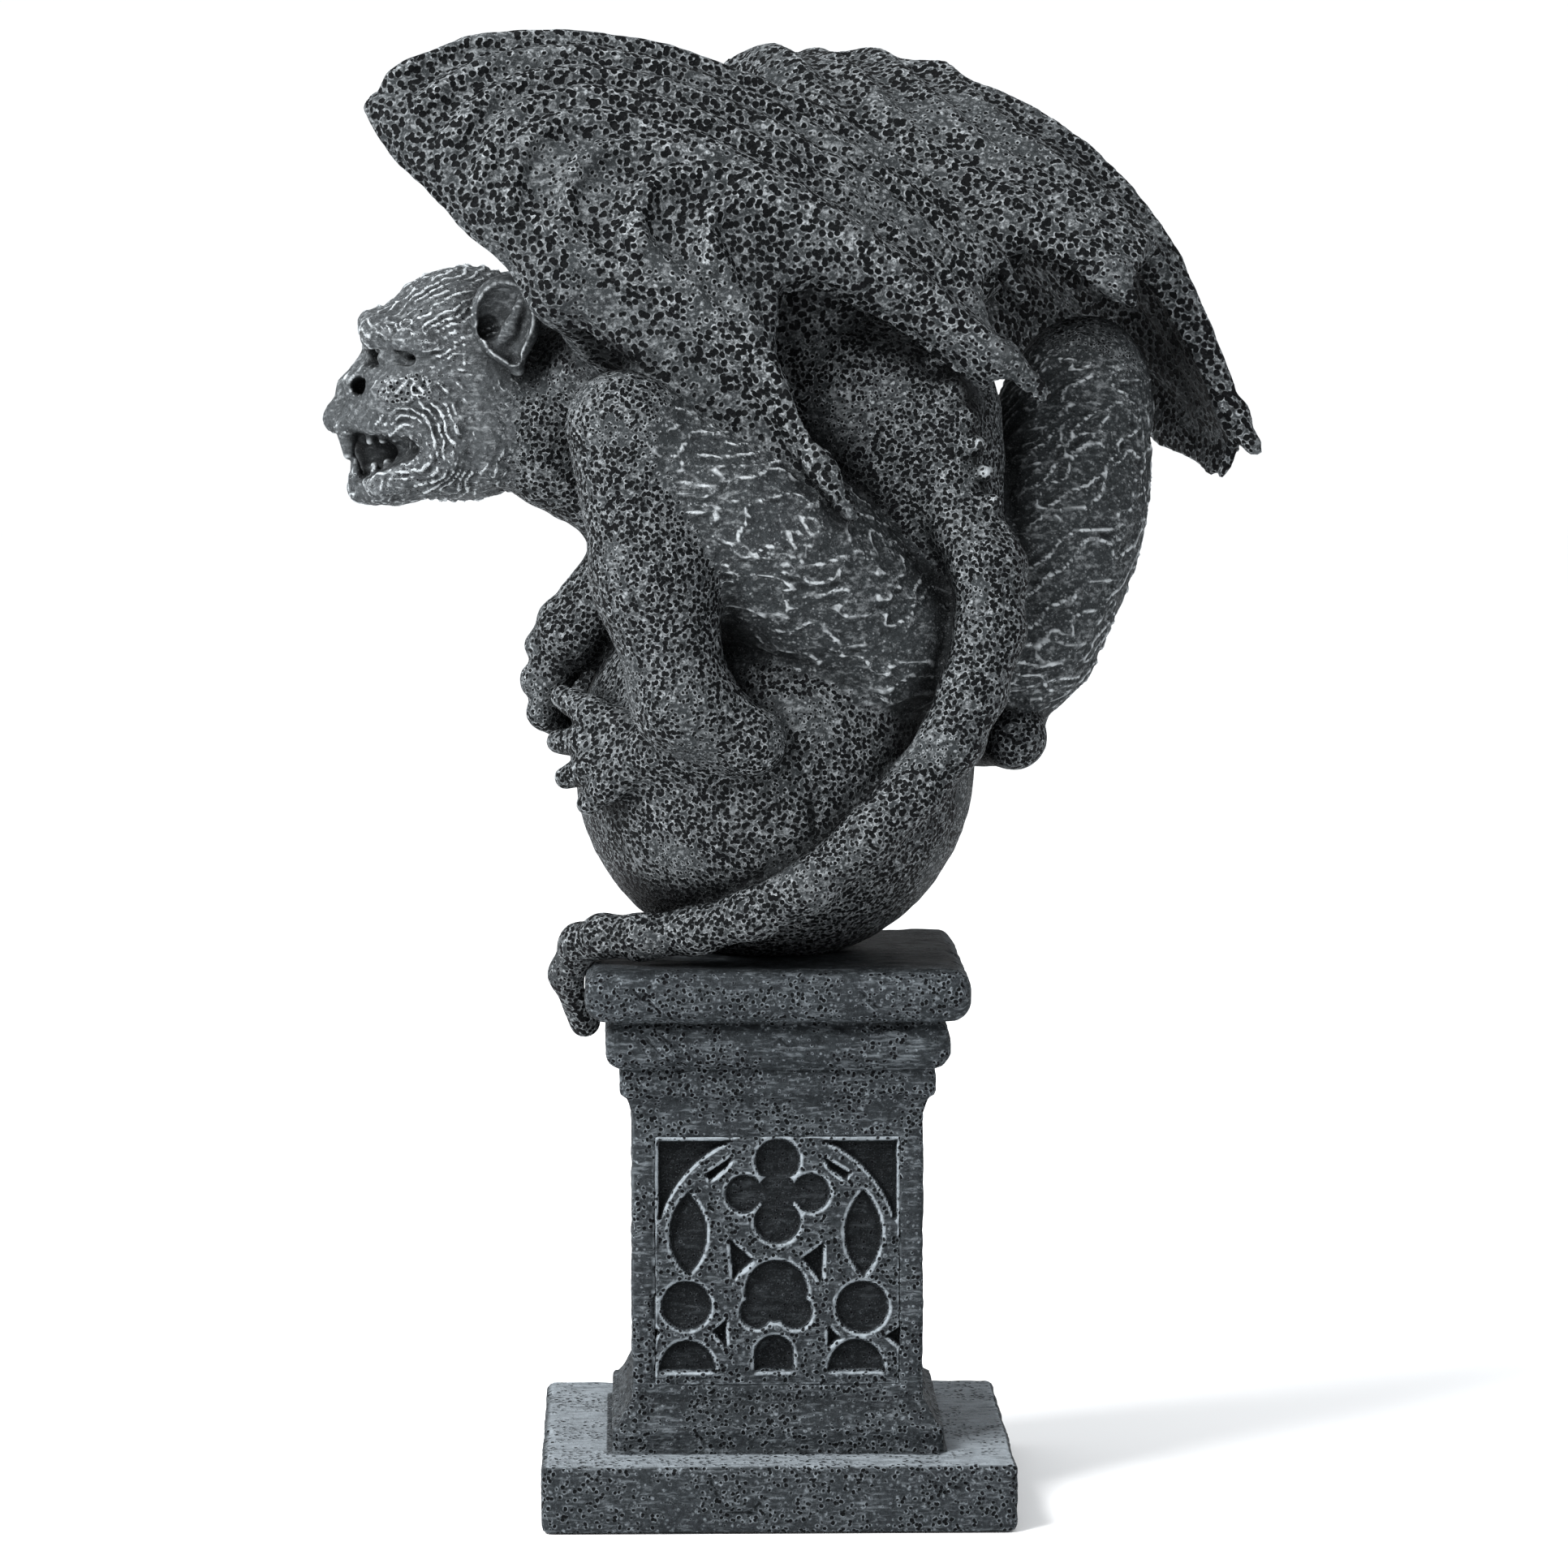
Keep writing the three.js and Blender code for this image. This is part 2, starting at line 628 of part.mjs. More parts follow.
// Distance to a closed outline, negative inside it.
function outlineDistance(points, u, v) {
  let best = Infinity;
  let inside = false;
  for (let i = 0, j = points.length - 1; i < points.length; j = i++) {
    const [ax, ay] = points[i];
    const [bx, by] = points[j];
    const ex = bx - ax;
    const ey = by - ay;
    const t = clamp(((u - ax) * ex + (v - ay) * ey) / (ex * ex + ey * ey), 0, 1);
    best = Math.min(best, Math.hypot(u - ax - ex * t, v - ay - ey * t));
    if (ay > v !== by > v && u < ax + (ex * (v - ay)) / ey) inside = !inside;
  }
  return inside ? -best : best;
}

function curveAt(points, t) {
  const weights = [(1 - t) ** 3, 3 * t * (1 - t) ** 2, 3 * t * t * (1 - t), t ** 3];
  return [0, 1].map((k) => weights.reduce((sum, w, i) => sum + w * points[i][k], 0));
}

// The ribs of a wing: a family of curves that turns evenly from one edge curve into another.
function ribFamily(first, last, count) {
  const family = [];
  for (let i = 0; i < count; i++) {
    const share = count > 1 ? i / (count - 1) : 0;
    const control = first.map((p, k) => [lerp(p[0], last[k][0], share), lerp(p[1], last[k][1], share)]);
    family.push(Array.from({ length: 15 }, (_, n) => curveAt(control, n / 14)));
  }
  return family;
}

function pathDistance(path, u, v) {
  let best = Infinity;
  for (let i = 1; i < path.length; i++) {
    const [ax, ay] = path[i - 1];
    const ex = path[i][0] - ax;
    const ey = path[i][1] - ay;
    const t = clamp(((u - ax) * ex + (v - ay) * ey) / (ex * ex + ey * ey), 0, 1);
    best = Math.min(best, Math.hypot(u - ax - ex * t, v - ay - ey * t));
  }
  return best;
}

// A domed shell over a flat outline. u runs from the wrist to the tips, w points out of the back.
function wingForm(wing) {
  const u = unit(wing.along);
  const w = unit(minus(wing.out, u.map((k) => k * dot(wing.out, u))));
  const v = cross(w, u);
  const step = 1.5;
  const low = [-20, -75];
  const count = [145, 100];
  const height = new Float32Array(count[0] * count[1]);
  const edge = new Float32Array(count[0] * count[1]);
  const ribs = wing.ribs.flatMap(([first, last, number]) => ribFamily(first, last, number));
  for (let j = 0; j < count[1]; j++)
    for (let i = 0; i < count[0]; i++) {
      const a = low[0] + i * step;
      const b = low[1] + j * step;
      const d = outlineDistance(wing.outline, a, b);
      let h = wing.dome(a, b);
      for (const rib of ribs) h += wing.ribHeight * Math.exp(-((pathDistance(rib, a, b) / wing.ribWidth) ** 2));
      edge[j * count[0] + i] = d;
      height[j * count[0] + i] = h;
    }
  const read = (field, a, b) => {
    const x = clamp((a - low[0]) / step, 0, count[0] - 1.001);
    const y = clamp((b - low[1]) / step, 0, count[1] - 1.001);
    const i = Math.floor(x);
    const j = Math.floor(y);
    const k = j * count[0] + i;
    const top = lerp(field[k], field[k + 1], x - i);
    const bottom = lerp(field[k + count[0]], field[k + count[0] + 1], x - i);
    return lerp(top, bottom, y - j);
  };
  const wallForm = (x, y, z) => {
    const px = (x - wing.wrist[0]) / scale;
    const py = (y - wing.wrist[1]) / scale;
    const pz = (z - wing.wrist[2]) / scale;
    const a = px * u[0] + py * u[1] + pz * u[2];
    const b = px * v[0] + py * v[1] + pz * v[2];
    const c = px * w[0] + py * w[1] + pz * w[2];
    const rise = Math.abs(c - read(height, a, b)) * wing.lean - shell / (2 * scale) + 2;
    const rim = read(edge, a, b) + 2;
    const outer = Math.sqrt(Math.max(rise, 0) ** 2 + Math.max(rim, 0) ** 2);
    return (Math.min(Math.max(rise, rim), 0) + outer - 2) * scale;
  };
  const wall = held(wallForm, add(wing.wrist, u, 78 * scale), 112 * scale);
  const place = (a, b, c) => {
    const rise = read(height, a, b) + c;
    return [0, 1, 2].map((k) => wing.wrist[k] + scale * (u[k] * a + v[k] * b + w[k] * rise));
  };
  const claws = wing.claws.map(([a, b, du, dv, length]) => {
    const base = place(a - du * 3, b - dv * 3, 0);
    const tip = [0, 1, 2].map((k) => base[k] + size(length) * (u[k] * du + v[k] * dv - w[k] * 0.12));
    return limb(base, size(3.6), tip, size(1.9));
  });
  return { wall, claws, place };
}

const nearWing = {
  wrist: at(-93, -15, 154.5),
  along: [0.94, -0.016, -0.34],
  out: [0.157, -0.863, 0.475],
  outline: [
    [-1, -3], [4, 8], [18, 20], [38, 29], [60, 35], [86, 36], [110, 33], [130, 25],
    [148, 13], [146, 4], [150, -4], [160, -12], [155, -18], [131, -14], [110, -13], [103, -19],
    [107, -33], [116, -45], [128, -55], [118, -58], [90, -49], [62, -38], [34, -28], [11, -15],
  ],
  dome: (u, v) => {
    const rise = Math.sin(Math.PI * clamp((u + 22) / 200, 0, 1)) ** 0.8;
    return 27 * rise * (1 - (v / 56) ** 2) - 10 - 0.1 * v * (u / 150);
  },
  ribs: [
    [[[2, 4], [30, 40], [95, 44], [149, 12]], [[40, -24], [22, 14], [75, 16], [160, -12]], 5],
    [[[52, -22], [40, 6], [80, 12], [158, -13]], [[86, -22], [72, 2], [100, 0], [154, -14]], 3],
    [[[46, -24], [66, -30], [95, -30], [128, -54]], [[86, -18], [92, -24], [100, -30], [126, -54]], 3],
  ],
  ribHeight: 2.3,
  ribWidth: 2.7,
  lean: 0.86,
  claws: [[148, 13, 0.86, -0.5, 12], [160, -12, 0.92, -0.38, 11], [127, -54, 0.82, -0.57, 13]],
};

const farWing = {
  wrist: at(-8, 79, 156.5),
  along: [0.675, -0.444, -0.588],
  out: [0.62, -0.1, 0.78],
  outline: [
    [-3, 2], [0, -14], [18, -28], [45, -36], [70, -38], [93, -36], [97, -28], [106, -24], [120, -18],
    [114, -8], [113, -1], [121, 5], [138, 13], [154, 22], [148, 30], [130, 40], [104, 46],
    [70, 48], [36, 40], [10, 22],
  ],
  dome: (u, v) => {
    const rise = Math.sin(Math.PI * clamp((u + 14) / 190, 0, 1)) ** 0.8;
    return 49 * rise * (1 - ((v - 6) / 46) ** 2) - 9 - 0.15 * v;
  },
  ribs: [
    [[[4, -12], [40, -44], [80, -40], [118, -17]], [[30, 6], [60, -22], [90, -16], [114, -4]], 4],
    [[[6, 0], [50, -6], [95, 0], [148, 18]], [[8, 14], [50, 44], [100, 46], [148, 24]], 4],
  ],
  ribHeight: 2.3,
  ribWidth: 2.7,
  lean: 0.78,
  claws: [[117, -18, 0.8, 0.1, 10], [149, 20, 0.85, -0.1, 11], [140, 30, 0.95, 0.2, 10]],
};

function castingForm() {
  const near = wingForm(nearWing);
  const far = wingForm(farWing);
  // Upper arm to the elbow on the outer rim, forearm along that rim, and the web by the spine.
  const arms = [
    blend(size(9), [
      limb(add(shoulder.near, [size(14), 0, size(4)]), size(14), near.place(56, -32, -4), size(6.5)),
      limb(near.place(56, -32, -4), size(5.5), near.place(6, -3, -1), size(4.5)),
      limb(at(8, -2, 96), size(15), near.place(108, 8, -6), size(8)),
    ]),
    blend(size(9), [
      limb(at(-8, 36, 92), size(14), far.place(48, 30, -6), size(7.5)),
      limb(far.place(48, 30, -6), size(7), far.place(3, 4, -1), size(4.5)),
      limb(at(22, 14, 96), size(15), far.place(88, -22, -5), size(8)),
    ]),
  ];
  const wings = blend(size(3), [
    near.wall,
    far.wall,
    ...arms,
    ...near.claws,
    ...far.claws,
  ]);
  const toes = [
    [-49.5, -15, 16.5],
    [-50.5, -18, 6.5],
    [-48.5, -23, -1.5],
    [-43.5, -29, -7],
  ];
  const limbs = [
    legForm("near"),
    legForm("far"),
    footForm(heel.near, toes.map((t) => at(...t)), 0.5),
    footForm(heel.far, toes.map(([x, y, z]) => at(x * 0.05 + 33, y * -0.6 + 32, z)), 0.45),
    handForm(
      wrist.near,
      at(-47, 1, 30),
      [at(-50.5, 1, 34), at(-54, 2, 27), at(-55, 1, 19), at(-53.5, -1, 12)],
      [size(6), size(3), size(-6)],
    ),
    handForm(
      wrist.far,
      at(-38, 31, 26),
      [at(-40, 37, 27), at(-44, 33, 22), at(-46, 27, 16), at(-46, 22, 10)],
      [size(4), size(-3), size(-6)],
    ),
    headForm(),
  ];
  const sphere = oval([0, 0, ballMiddle], [ballRadius, ballRadius, ballRadius]);
  const figure = blend(size(2.2), [bodyForm(), ...limbs, tailForm(), wings]);
  return blend(size(1.6), [figure, sphere]);
}

// For each way that the eight corners of a cell can be in or out: whether those that are in hang
// together along the cell's edges, and those that are out do too.
function simpleCells() {
  const oneSheet = (mask) => {
    if (!mask) return true;
    let reached = mask & -mask;
    for (let grown = 0; grown !== reached; ) {
      grown = reached;
      for (let c = 0; c < 8; c++)
        if (reached & (1 << c)) for (const axis of [1, 2, 4]) reached |= (1 << (c ^ axis)) & mask;
    }
    return reached === mask;
  };
  return Array.from({ length: 256 }, (_, mask) => oneSheet(mask) && oneSheet(255 ^ mask));
}

// Turns a form into a closed net of quads over a grid, each quad split into two triangles.
function netOf(form, low, high, step) {
  const count = low.map((v, k) => Math.ceil((high[k] - v) / step) + 1);
  const [nx, ny, nz] = count;
  const value = new Float32Array(nx * ny * nz);
  const index = (i, j, k) => i + nx * (j + ny * k);
  const point = (i, j, k) => [low[0] + i * step, low[1] + j * step, low[2] + k * step];
  const block = 6;
  const near = (block * step * Math.sqrt(3)) / 2 + 7;
  for (let k0 = 0; k0 < nz; k0 += block)
    for (let j0 = 0; j0 < ny; j0 += block)
      for (let i0 = 0; i0 < nx; i0 += block) {
        const middle = form(...point(i0 + block / 2, j0 + block / 2, k0 + block / 2));
        for (let k = k0; k < Math.min(k0 + block, nz); k++)
          for (let j = j0; j < Math.min(j0 + block, ny); j++)
            for (let i = i0; i < Math.min(i0 + block, nx); i++)
              value[index(i, j, k)] = Math.abs(middle) > near ? middle : form(...point(i, j, k));
      }
  // The corners of a cell that are in hang together, and so do those that are out, so that the
  // net has one sheet in every cell. Where they don't, the nearest corner that is out is filled.
  const strides = [1, nx, nx * ny];
  const simple = simpleCells();
  const cornerOffset = (c) => (c & 1) * strides[0] + ((c >> 1) & 1) * strides[1] + (c >> 2) * strides[2];
  const offsets = Array.from({ length: 8 }, (_, c) => cornerOffset(c));
  for (let changed = true; changed; ) {
    changed = false;
    for (let n = 0; n + offsets[7] < value.length; n++) {
      let mask = 0;
      for (let c = 0; c < 8; c++) if (value[n + offsets[c]] < 0) mask |= 1 << c;
      if (simple[mask]) continue;
      const out = offsets.map((o) => n + o).filter((m) => value[m] >= 0);
      value[out.reduce((best, m) => (value[m] < value[best] ? m : best))] = -1e-3;
      changed = true;
    }
  }
  const vertexOf = new Int32Array(value.length).fill(-1);
  const points = [];
  const edges = [];
  for (const [s, t, r] of [[0, 1, 2], [1, 2, 0], [2, 0, 1]])
    for (const p of [0, 1]) for (const q of [0, 1]) edges.push([s, p * strides[t] + q * strides[r], t, r, p, q]);
  for (let k = 0; k + 1 < nz; k++)
    for (let j = 0; j + 1 < ny; j++)
      for (let i = 0; i + 1 < nx; i++) {
        const n = index(i, j, k);
        const sum = [0, 0, 0];
        let hits = 0;
        for (const [s, offset, t, r, p, q] of edges) {
          const a = value[n + offset];
          const b = value[n + offset + strides[s]];
          if (a < 0 === b < 0) continue;
          sum[s] += a / (a - b);
          sum[t] += p;
          sum[r] += q;
          hits++;
        }
        if (!hits) continue;
        vertexOf[n] = points.length;
        points.push(point(i + sum[0] / hits, j + sum[1] / hits, k + sum[2] / hits));
      }
  const faces = [];
  for (let k = 1; k + 1 < nz; k++)
    for (let j = 1; j + 1 < ny; j++)
      for (let i = 1; i + 1 < nx; i++) {
        const n = index(i, j, k);
        for (let s = 0; s < 3; s++) {
          const a = value[n] < 0;
          if (a === value[n + strides[s]] < 0) continue;
          const t = strides[(s + 1) % 3];
          const r = strides[(s + 2) % 3];
          const quad = [n - t - r, n - r, n, n - t].map((m) => vertexOf[m]);
          if (!a) quad.reverse();
          faces.push([quad[0], quad[1], quad[2]], [quad[0], quad[2], quad[3]]);
        }
      }
  return { points, faces };
}

// Thins a closed net to a number of triangles by closing the edges that matter least to its form.
function thin({ points, faces }, target) {
  const quadric = points.map(() => new Float64Array(10));
  const around = points.map(() => new Set());
  const alive = faces.map(() => true);
  const planeOf = (face) => {
    const [a, b, c] = face.map((v) => points[v]);
    const n = cross(minus(b, a), minus(c, a));
    return [n, Math.hypot(...n), a];
  };
  faces.forEach((face, f) => {
    const [n, area, a] = planeOf(face);
    face.forEach((v) => around[v].add(f));
    if (area < 1e-12) return;
    const m = n.map((v) => v / area);
    const d = -dot(m, a);
    const row = [...m, d];
    let slot = 0;
    for (let i = 0; i < 4; i++)
      for (let j = i; j < 4; j++) {
        for (const v of face) quadric[v][slot] += row[i] * row[j] * area;
        slot++;
      }
  });
  const cost = (q, p) => {
    const [x, y, z] = p;
    return (
      q[0] * x * x + 2 * q[1] * x * y + 2 * q[2] * x * z + 2 * q[3] * x +
      q[4] * y * y + 2 * q[5] * y * z + 2 * q[6] * y + q[7] * z * z + 2 * q[8] * z + q[9]
    );
  };
  const bestPoint = (q, a, b) => {
    const c00 = q[4] * q[7] - q[5] * q[5];
    const c01 = q[2] * q[5] - q[1] * q[7];
    const c02 = q[1] * q[5] - q[2] * q[4];
    const det = q[0] * c00 + q[1] * c01 + q[2] * c02;
    const middle = add(a, minus(b, a), 0.5);
    const options = [middle, a, b];
    const scaleOf = (q[0] + q[4] + q[7]) ** 3;
    if (Math.abs(det) > 1e-6 * scaleOf) {
      const c11 = q[0] * q[7] - q[2] * q[2];
      const c12 = q[1] * q[2] - q[0] * q[5];
      const c22 = q[0] * q[4] - q[1] * q[1];
      const r = [-q[3], -q[6], -q[8]];
      const p = [
        (c00 * r[0] + c01 * r[1] + c02 * r[2]) / det,
        (c01 * r[0] + c11 * r[1] + c12 * r[2]) / det,
        (c02 * r[0] + c12 * r[1] + c22 * r[2]) / det,
      ];
      if (Math.hypot(...minus(p, middle)) < 2 * Math.hypot(...minus(a, b))) options.unshift(p);
    }
    let best = options[0];
    let least = Infinity;
    for (const p of options) {
      const c = cost(q, p);
      if (c < least - 1e-12) {
        least = c;
        best = p;
      }
    }
    return [best, Math.max(least, 0)];
  };
  // A binary heap of edges, cheapest first; an edge whose ends changed since is passed over.
  const version = new Int32Array(points.length);
  const heap = [];
  const before = (a, b) => heap[a].cost < heap[b].cost;
  const swap = (a, b) => ([heap[a], heap[b]] = [heap[b], heap[a]]);
  const push = (entry) => {
    heap.push(entry);
    for (let i = heap.length - 1; i > 0; ) {
      const up = (i - 1) >> 1;
      if (!before(i, up)) break;
      swap(i, up);
      i = up;
    }
  };
  const pop = () => {
    swap(0, heap.length - 1);
    const top = heap.pop();
    for (let i = 0; ; ) {
      let least = i;
      for (const child of [2 * i + 1, 2 * i + 2]) if (child < heap.length && before(child, least)) least = child;
      if (least === i) break;
      swap(i, least);
      i = least;
    }
    return top;
  };
  const consider = (a, b) => {
    const q = quadric[a].map((v, i) => v + quadric[b][i]);
    const [p, c] = bestPoint(q, points[a], points[b]);
    const long = Math.hypot(...minus(points[a], points[b]));
    push({ cost: c + 1e-5 * long * long, a, b, p, va: version[a], vb: version[b] });
  };
  for (const face of faces)
    for (let i = 0; i < 3; i++) if (face[i] < face[(i + 1) % 3]) consider(face[i], face[(i + 1) % 3]);
  const ring = (v) => {
    const out = new Set();
    for (const f of around[v]) for (const n of faces[f]) if (n !== v) out.add(n);
    return out;
  };
  const flips = (v, other, p) => {
    for (const f of around[v]) {
      if (faces[f].includes(other)) continue;
      const old = faces[f].map((n) => points[n]);
      const moved = faces[f].map((n) => (n === v ? p : points[n]));
      const n0 = cross(minus(old[1], old[0]), minus(old[2], old[0]));
      const n1 = cross(minus(moved[1], moved[0]), minus(moved[2], moved[0]));
      const l1 = Math.hypot(...n1);
      const edges = [0, 1, 2].map((i) => Math.hypot(...minus(moved[i], moved[(i + 1) % 3])));
      if (l1 < 0.05 * Math.max(...edges) ** 2) return true;
      if (dot(n0, n1) < 0.3 * Math.hypot(...n0) * l1) return true;
    }
    return false;
  };
  let left = faces.length;
  while (left > target && heap.length) {
    const { a, b, p, va, vb } = pop();
    if (version[a] !== va || version[b] !== vb) continue;
    const shared = [...around[a]].filter((f) => around[b].has(f));
    if (shared.length !== 2) continue;
    const ringA = ring(a);
    const common = [...ring(b)].filter((n) => ringA.has(n));
    if (common.length !== 2) continue;
    if (flips(a, b, p) || flips(b, a, p)) continue;
    for (const f of shared) {
      alive[f] = false;
      for (const n of faces[f]) around[n].delete(f);
    }
    left -= 2;
    for (const f of around[b]) {
      faces[f] = faces[f].map((n) => (n === b ? a : n));
      around[a].add(f);
    }
    around[b] = new Set();
    points[a] = p;
    quadric[a] = quadric[a].map((v, i) => v + quadric[b][i]);
    version[a]++;
    version[b]++;
    for (const n of ring(a)) consider(Math.min(a, n), Math.max(a, n));
  }
  const used = new Map();
  const flat = [];
  const triangles = [];
  faces.forEach((face, f) => {
    if (!alive[f]) return;
    for (const v of face) {
      if (!used.has(v)) {
        used.set(v, used.size);
        flat.push(...points[v]);
      }
      triangles.push(used.get(v));
    }
  });
  return { flat, triangles };
}

// Keeps the outer skin of a net, so that no pinhole is left inside the casting.
function outerSkin({ points, faces }) {
  const owner = points.map((_, i) => i);
  const find = (i) => {
    while (owner[i] !== i) i = owner[i] = owner[owner[i]];
    return i;
  };
  for (const [a, b, c] of faces) {
    owner[find(a)] = find(b);
    owner[find(b)] = find(c);
  }
  const count = new Map();
  for (const face of faces) count.set(find(face[0]), (count.get(find(face[0])) ?? 0) + 1);
  const [largest] = [...count].sort((a, b) => b[1] - a[1])[0];
  return { points, faces: faces.filter((face) => find(face[0]) === largest) };
}

function castingSolid() {
  const low = [-125 * scale, -90 * scale, midBandFoot - 4];
  const high = [125 * scale, 127 * scale, ballMiddle + 180 * scale];
  const net = outerSkin(netOf(castingForm(), low, high, gridStep));
  const { flat, triangles } = thin(net, castingTriangles);
  const solid = new wasm.Manifold(
    new wasm.Mesh({
      numProp: 3,
      vertProperties: new Float32Array(flat),
      triVerts: new Uint32Array(triangles),
    }),
  );
  return solid.subtract(capitalClearance());
}

// The two pieces

const stone = (hex) => new THREE.MeshStandardMaterial({ color: hex, roughness: 0.82, metalness: 0 });

const pedestal = new THREE.Mesh(geometryFrom(pedestalSolid()), stone(0x4a4f54));
pedestal.name = "pedestal";

const gargoyle = new THREE.Mesh(geometryFrom(castingSolid()), stone(0x525a60));
gargoyle.name = "gargoyle_on_ball";

const statue = new THREE.Group();
statue.add(pedestal, gargoyle);

export default statue;
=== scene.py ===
# %% [markdown]
# # A winged gargoyle on its ball and pedestal
# The statue is two castings in stone-filled resin. One is the square pedestal with its window
# tracery, the other is the gargoyle with the ball that it crouches on. This lesson builds both as
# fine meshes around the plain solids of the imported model, which is loaded first and stays fixed.

# %% The fixed frame
import math
import time

import bpy
import numpy as np
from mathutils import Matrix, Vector


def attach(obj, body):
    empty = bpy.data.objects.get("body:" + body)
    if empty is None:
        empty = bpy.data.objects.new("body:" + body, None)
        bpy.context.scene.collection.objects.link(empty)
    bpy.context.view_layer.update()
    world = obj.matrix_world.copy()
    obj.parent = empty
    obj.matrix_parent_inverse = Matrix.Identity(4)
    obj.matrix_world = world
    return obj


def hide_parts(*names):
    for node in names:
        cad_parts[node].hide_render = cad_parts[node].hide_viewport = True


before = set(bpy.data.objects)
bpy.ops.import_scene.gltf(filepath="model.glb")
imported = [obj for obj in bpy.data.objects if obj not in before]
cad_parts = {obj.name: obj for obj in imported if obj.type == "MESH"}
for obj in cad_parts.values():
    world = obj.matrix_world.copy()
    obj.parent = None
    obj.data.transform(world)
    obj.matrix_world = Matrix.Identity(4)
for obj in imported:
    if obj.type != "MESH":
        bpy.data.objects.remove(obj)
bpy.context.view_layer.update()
started = time.time()

# %% [markdown]
# ## Camera
# The photograph was taken with a long lens from a little above the ball, so upright edges stay
# upright and the tops of the pedestal's mouldings just show. The camera comes first, because
# everything else is judged through it.

# %% Camera
PHOTO_PIXELS = 1932
FOCAL_PIXELS = 8300
camera_data = bpy.data.cameras.new("camera")
camera_data.sensor_width = 36
camera_data.lens = FOCAL_PIXELS / PHOTO_PIXELS * camera_data.sensor_width
camera = bpy.data.objects.new("camera", camera_data)
camera.location = (-0.0341, -1.5721, 0.3144)
camera.rotation_euler = (math.radians(84.65), 0, math.radians(-1.325))
bpy.context.collection.objects.link(camera)
bpy.context.scene.camera = camera
print("lens", round(camera_data.lens, 1), "mm")

# %% [markdown]
# ## Free forms
# A carved figure has no flat faces to start from. Each limb, muscle or horn is a form: a function
# that says how far a point is from its surface, negative inside. Forms melt into each other with a
# soft minimum, as clay does, and a hollow is carved with a soft maximum. Every form also knows the
# box that holds it, so that forms too far off are passed over. Lengths are in millimetres.

# %% Forms
MM = 0.001
FAR = 20.0  # a form further off than this changes nothing at a surface


def length(v):
    return np.sqrt(np.einsum("ij,ij->i", v, v))


def unit(v):
    v = np.asarray(v, float)
    return v / np.linalg.norm(v)


class Form:
    """A distance function, and the lowest and highest corners of the box that holds the form."""

    def __init__(self, distance, low, high):
        self.distance = distance
        self.low = np.asarray(low, float)
        self.high = np.asarray(high, float)

    def away(self, ball):
        """How far the box is from a ball (its middle and radius), at least."""
        apart = np.maximum(np.maximum(self.low - ball[0], ball[0] - self.high), 0)
        return math.sqrt(apart @ apart) - ball[1]


def limb(a, ra, b, rb):
    """A limb that tapers from radius ra at a to rb at b."""
    a, b = np.asarray(a, float), np.asarray(b, float)
    run = b - a
    run2 = run @ run

    def distance(p, ball):
        v = p - a
        h = np.clip(v @ run / run2, 0, 1)
        return length(v - h[:, None] * run) - ra - (rb - ra) * h

    return Form(distance, np.minimum(a - ra, b - rb), np.maximum(a + ra, b + rb))


def oval(centre, radii, axis=(1, 0, 0), across=(0, 1, 0)):
    """An ellipsoid with radii along an axis, across it and along the third direction."""
    centre, radii = np.asarray(centre, float), np.asarray(radii, float)
    u = unit(axis)
    v = unit(np.asarray(across, float) - u * (u @ np.asarray(across, float)))
    turn = np.stack([u, v, np.cross(u, v)], 1)

    def distance(p, ball):
        q = (p - centre) @ turn / radii
        near = length(q)
        slope = np.maximum(length(q / radii), 1e-9)
        return np.where(near < 1e-6, -radii.min(), near * (near - 1) / slope)

    span = np.sqrt(((turn * radii) ** 2).sum(1))
    return Form(distance, centre - span, centre + span)


def soft_min(a, b, k):
    h = np.maximum(k - np.abs(a - b), 0) / k
    return np.minimum(a, b) - h * h * k * 0.25


def blend(k, forms):
    """Melts forms together over a width k."""
    lows, highs = np.stack([f.low for f in forms]), np.stack([f.high for f in forms])

    def distance(p, ball):
        apart = np.maximum(np.maximum(lows - ball[0], ball[0] - highs), 0)
        away = length(apart) - ball[1]
        near = [n for n, gap in enumerate(away) if gap < k + FAR]
        if not near:
            return np.full(len(p), away.min())
        d = forms[near[0]].distance(p, ball)
        for n in near[1:]:
            if away[n] < d.max() + k:
                d = soft_min(d, forms[n].distance(p, ball), k)
        return d

    return Form(distance, lows.min(0) - k / 4, highs.max(0) + k / 4)


def carve(k, body, tool):
    """Cuts a tool out of a body, with an edge softened over a width k."""

    def distance(p, ball):
        d = body.distance(p, ball)
        if tool.away(ball) > k - d.min():
            return d
        return -soft_min(-d, tool.distance(p, ball), k)

    return Form(distance, body.low, body.high)


def chain(points, radii):
    """Tapering limbs from point to point, melted into one."""
    links = zip(points, radii, points[1:], radii[1:])
    return blend(3, [limb(a, ra, b, rb) for a, ra, b, rb in links])


print("forms ready")

# %% [markdown]
# ## Sizes
# The pedestal's levels and the ball have the same sizes as the solids. The figure's landmarks are
# points on the real casting, in millimetres from the middle of the ball.

# %% Sizes of the pedestal and the ball
SLAB = dict(width=109, height=15.5, corner=2.5, round=1.4)
FOOT_BAND = dict(width=76.6, height=6, corner=1.5)
FOOT_BEVEL = 5.3
SHAFT = dict(width=67.3, height=67.6, corner=1)
NECK = dict(height=3.5, reach=1.4)
LOW_BAND = dict(width=72.9, height=6.8, corner=2, round=1.5)
MID_BAND = dict(width=79.4, height=11.3, corner=3, round=4.5)
TOP_PLATE = dict(width=88.7, height=12.2, corner=4, round=5)
PANEL = dict(width=57.2, height=58.4, lift=3.6, sink=0.7)

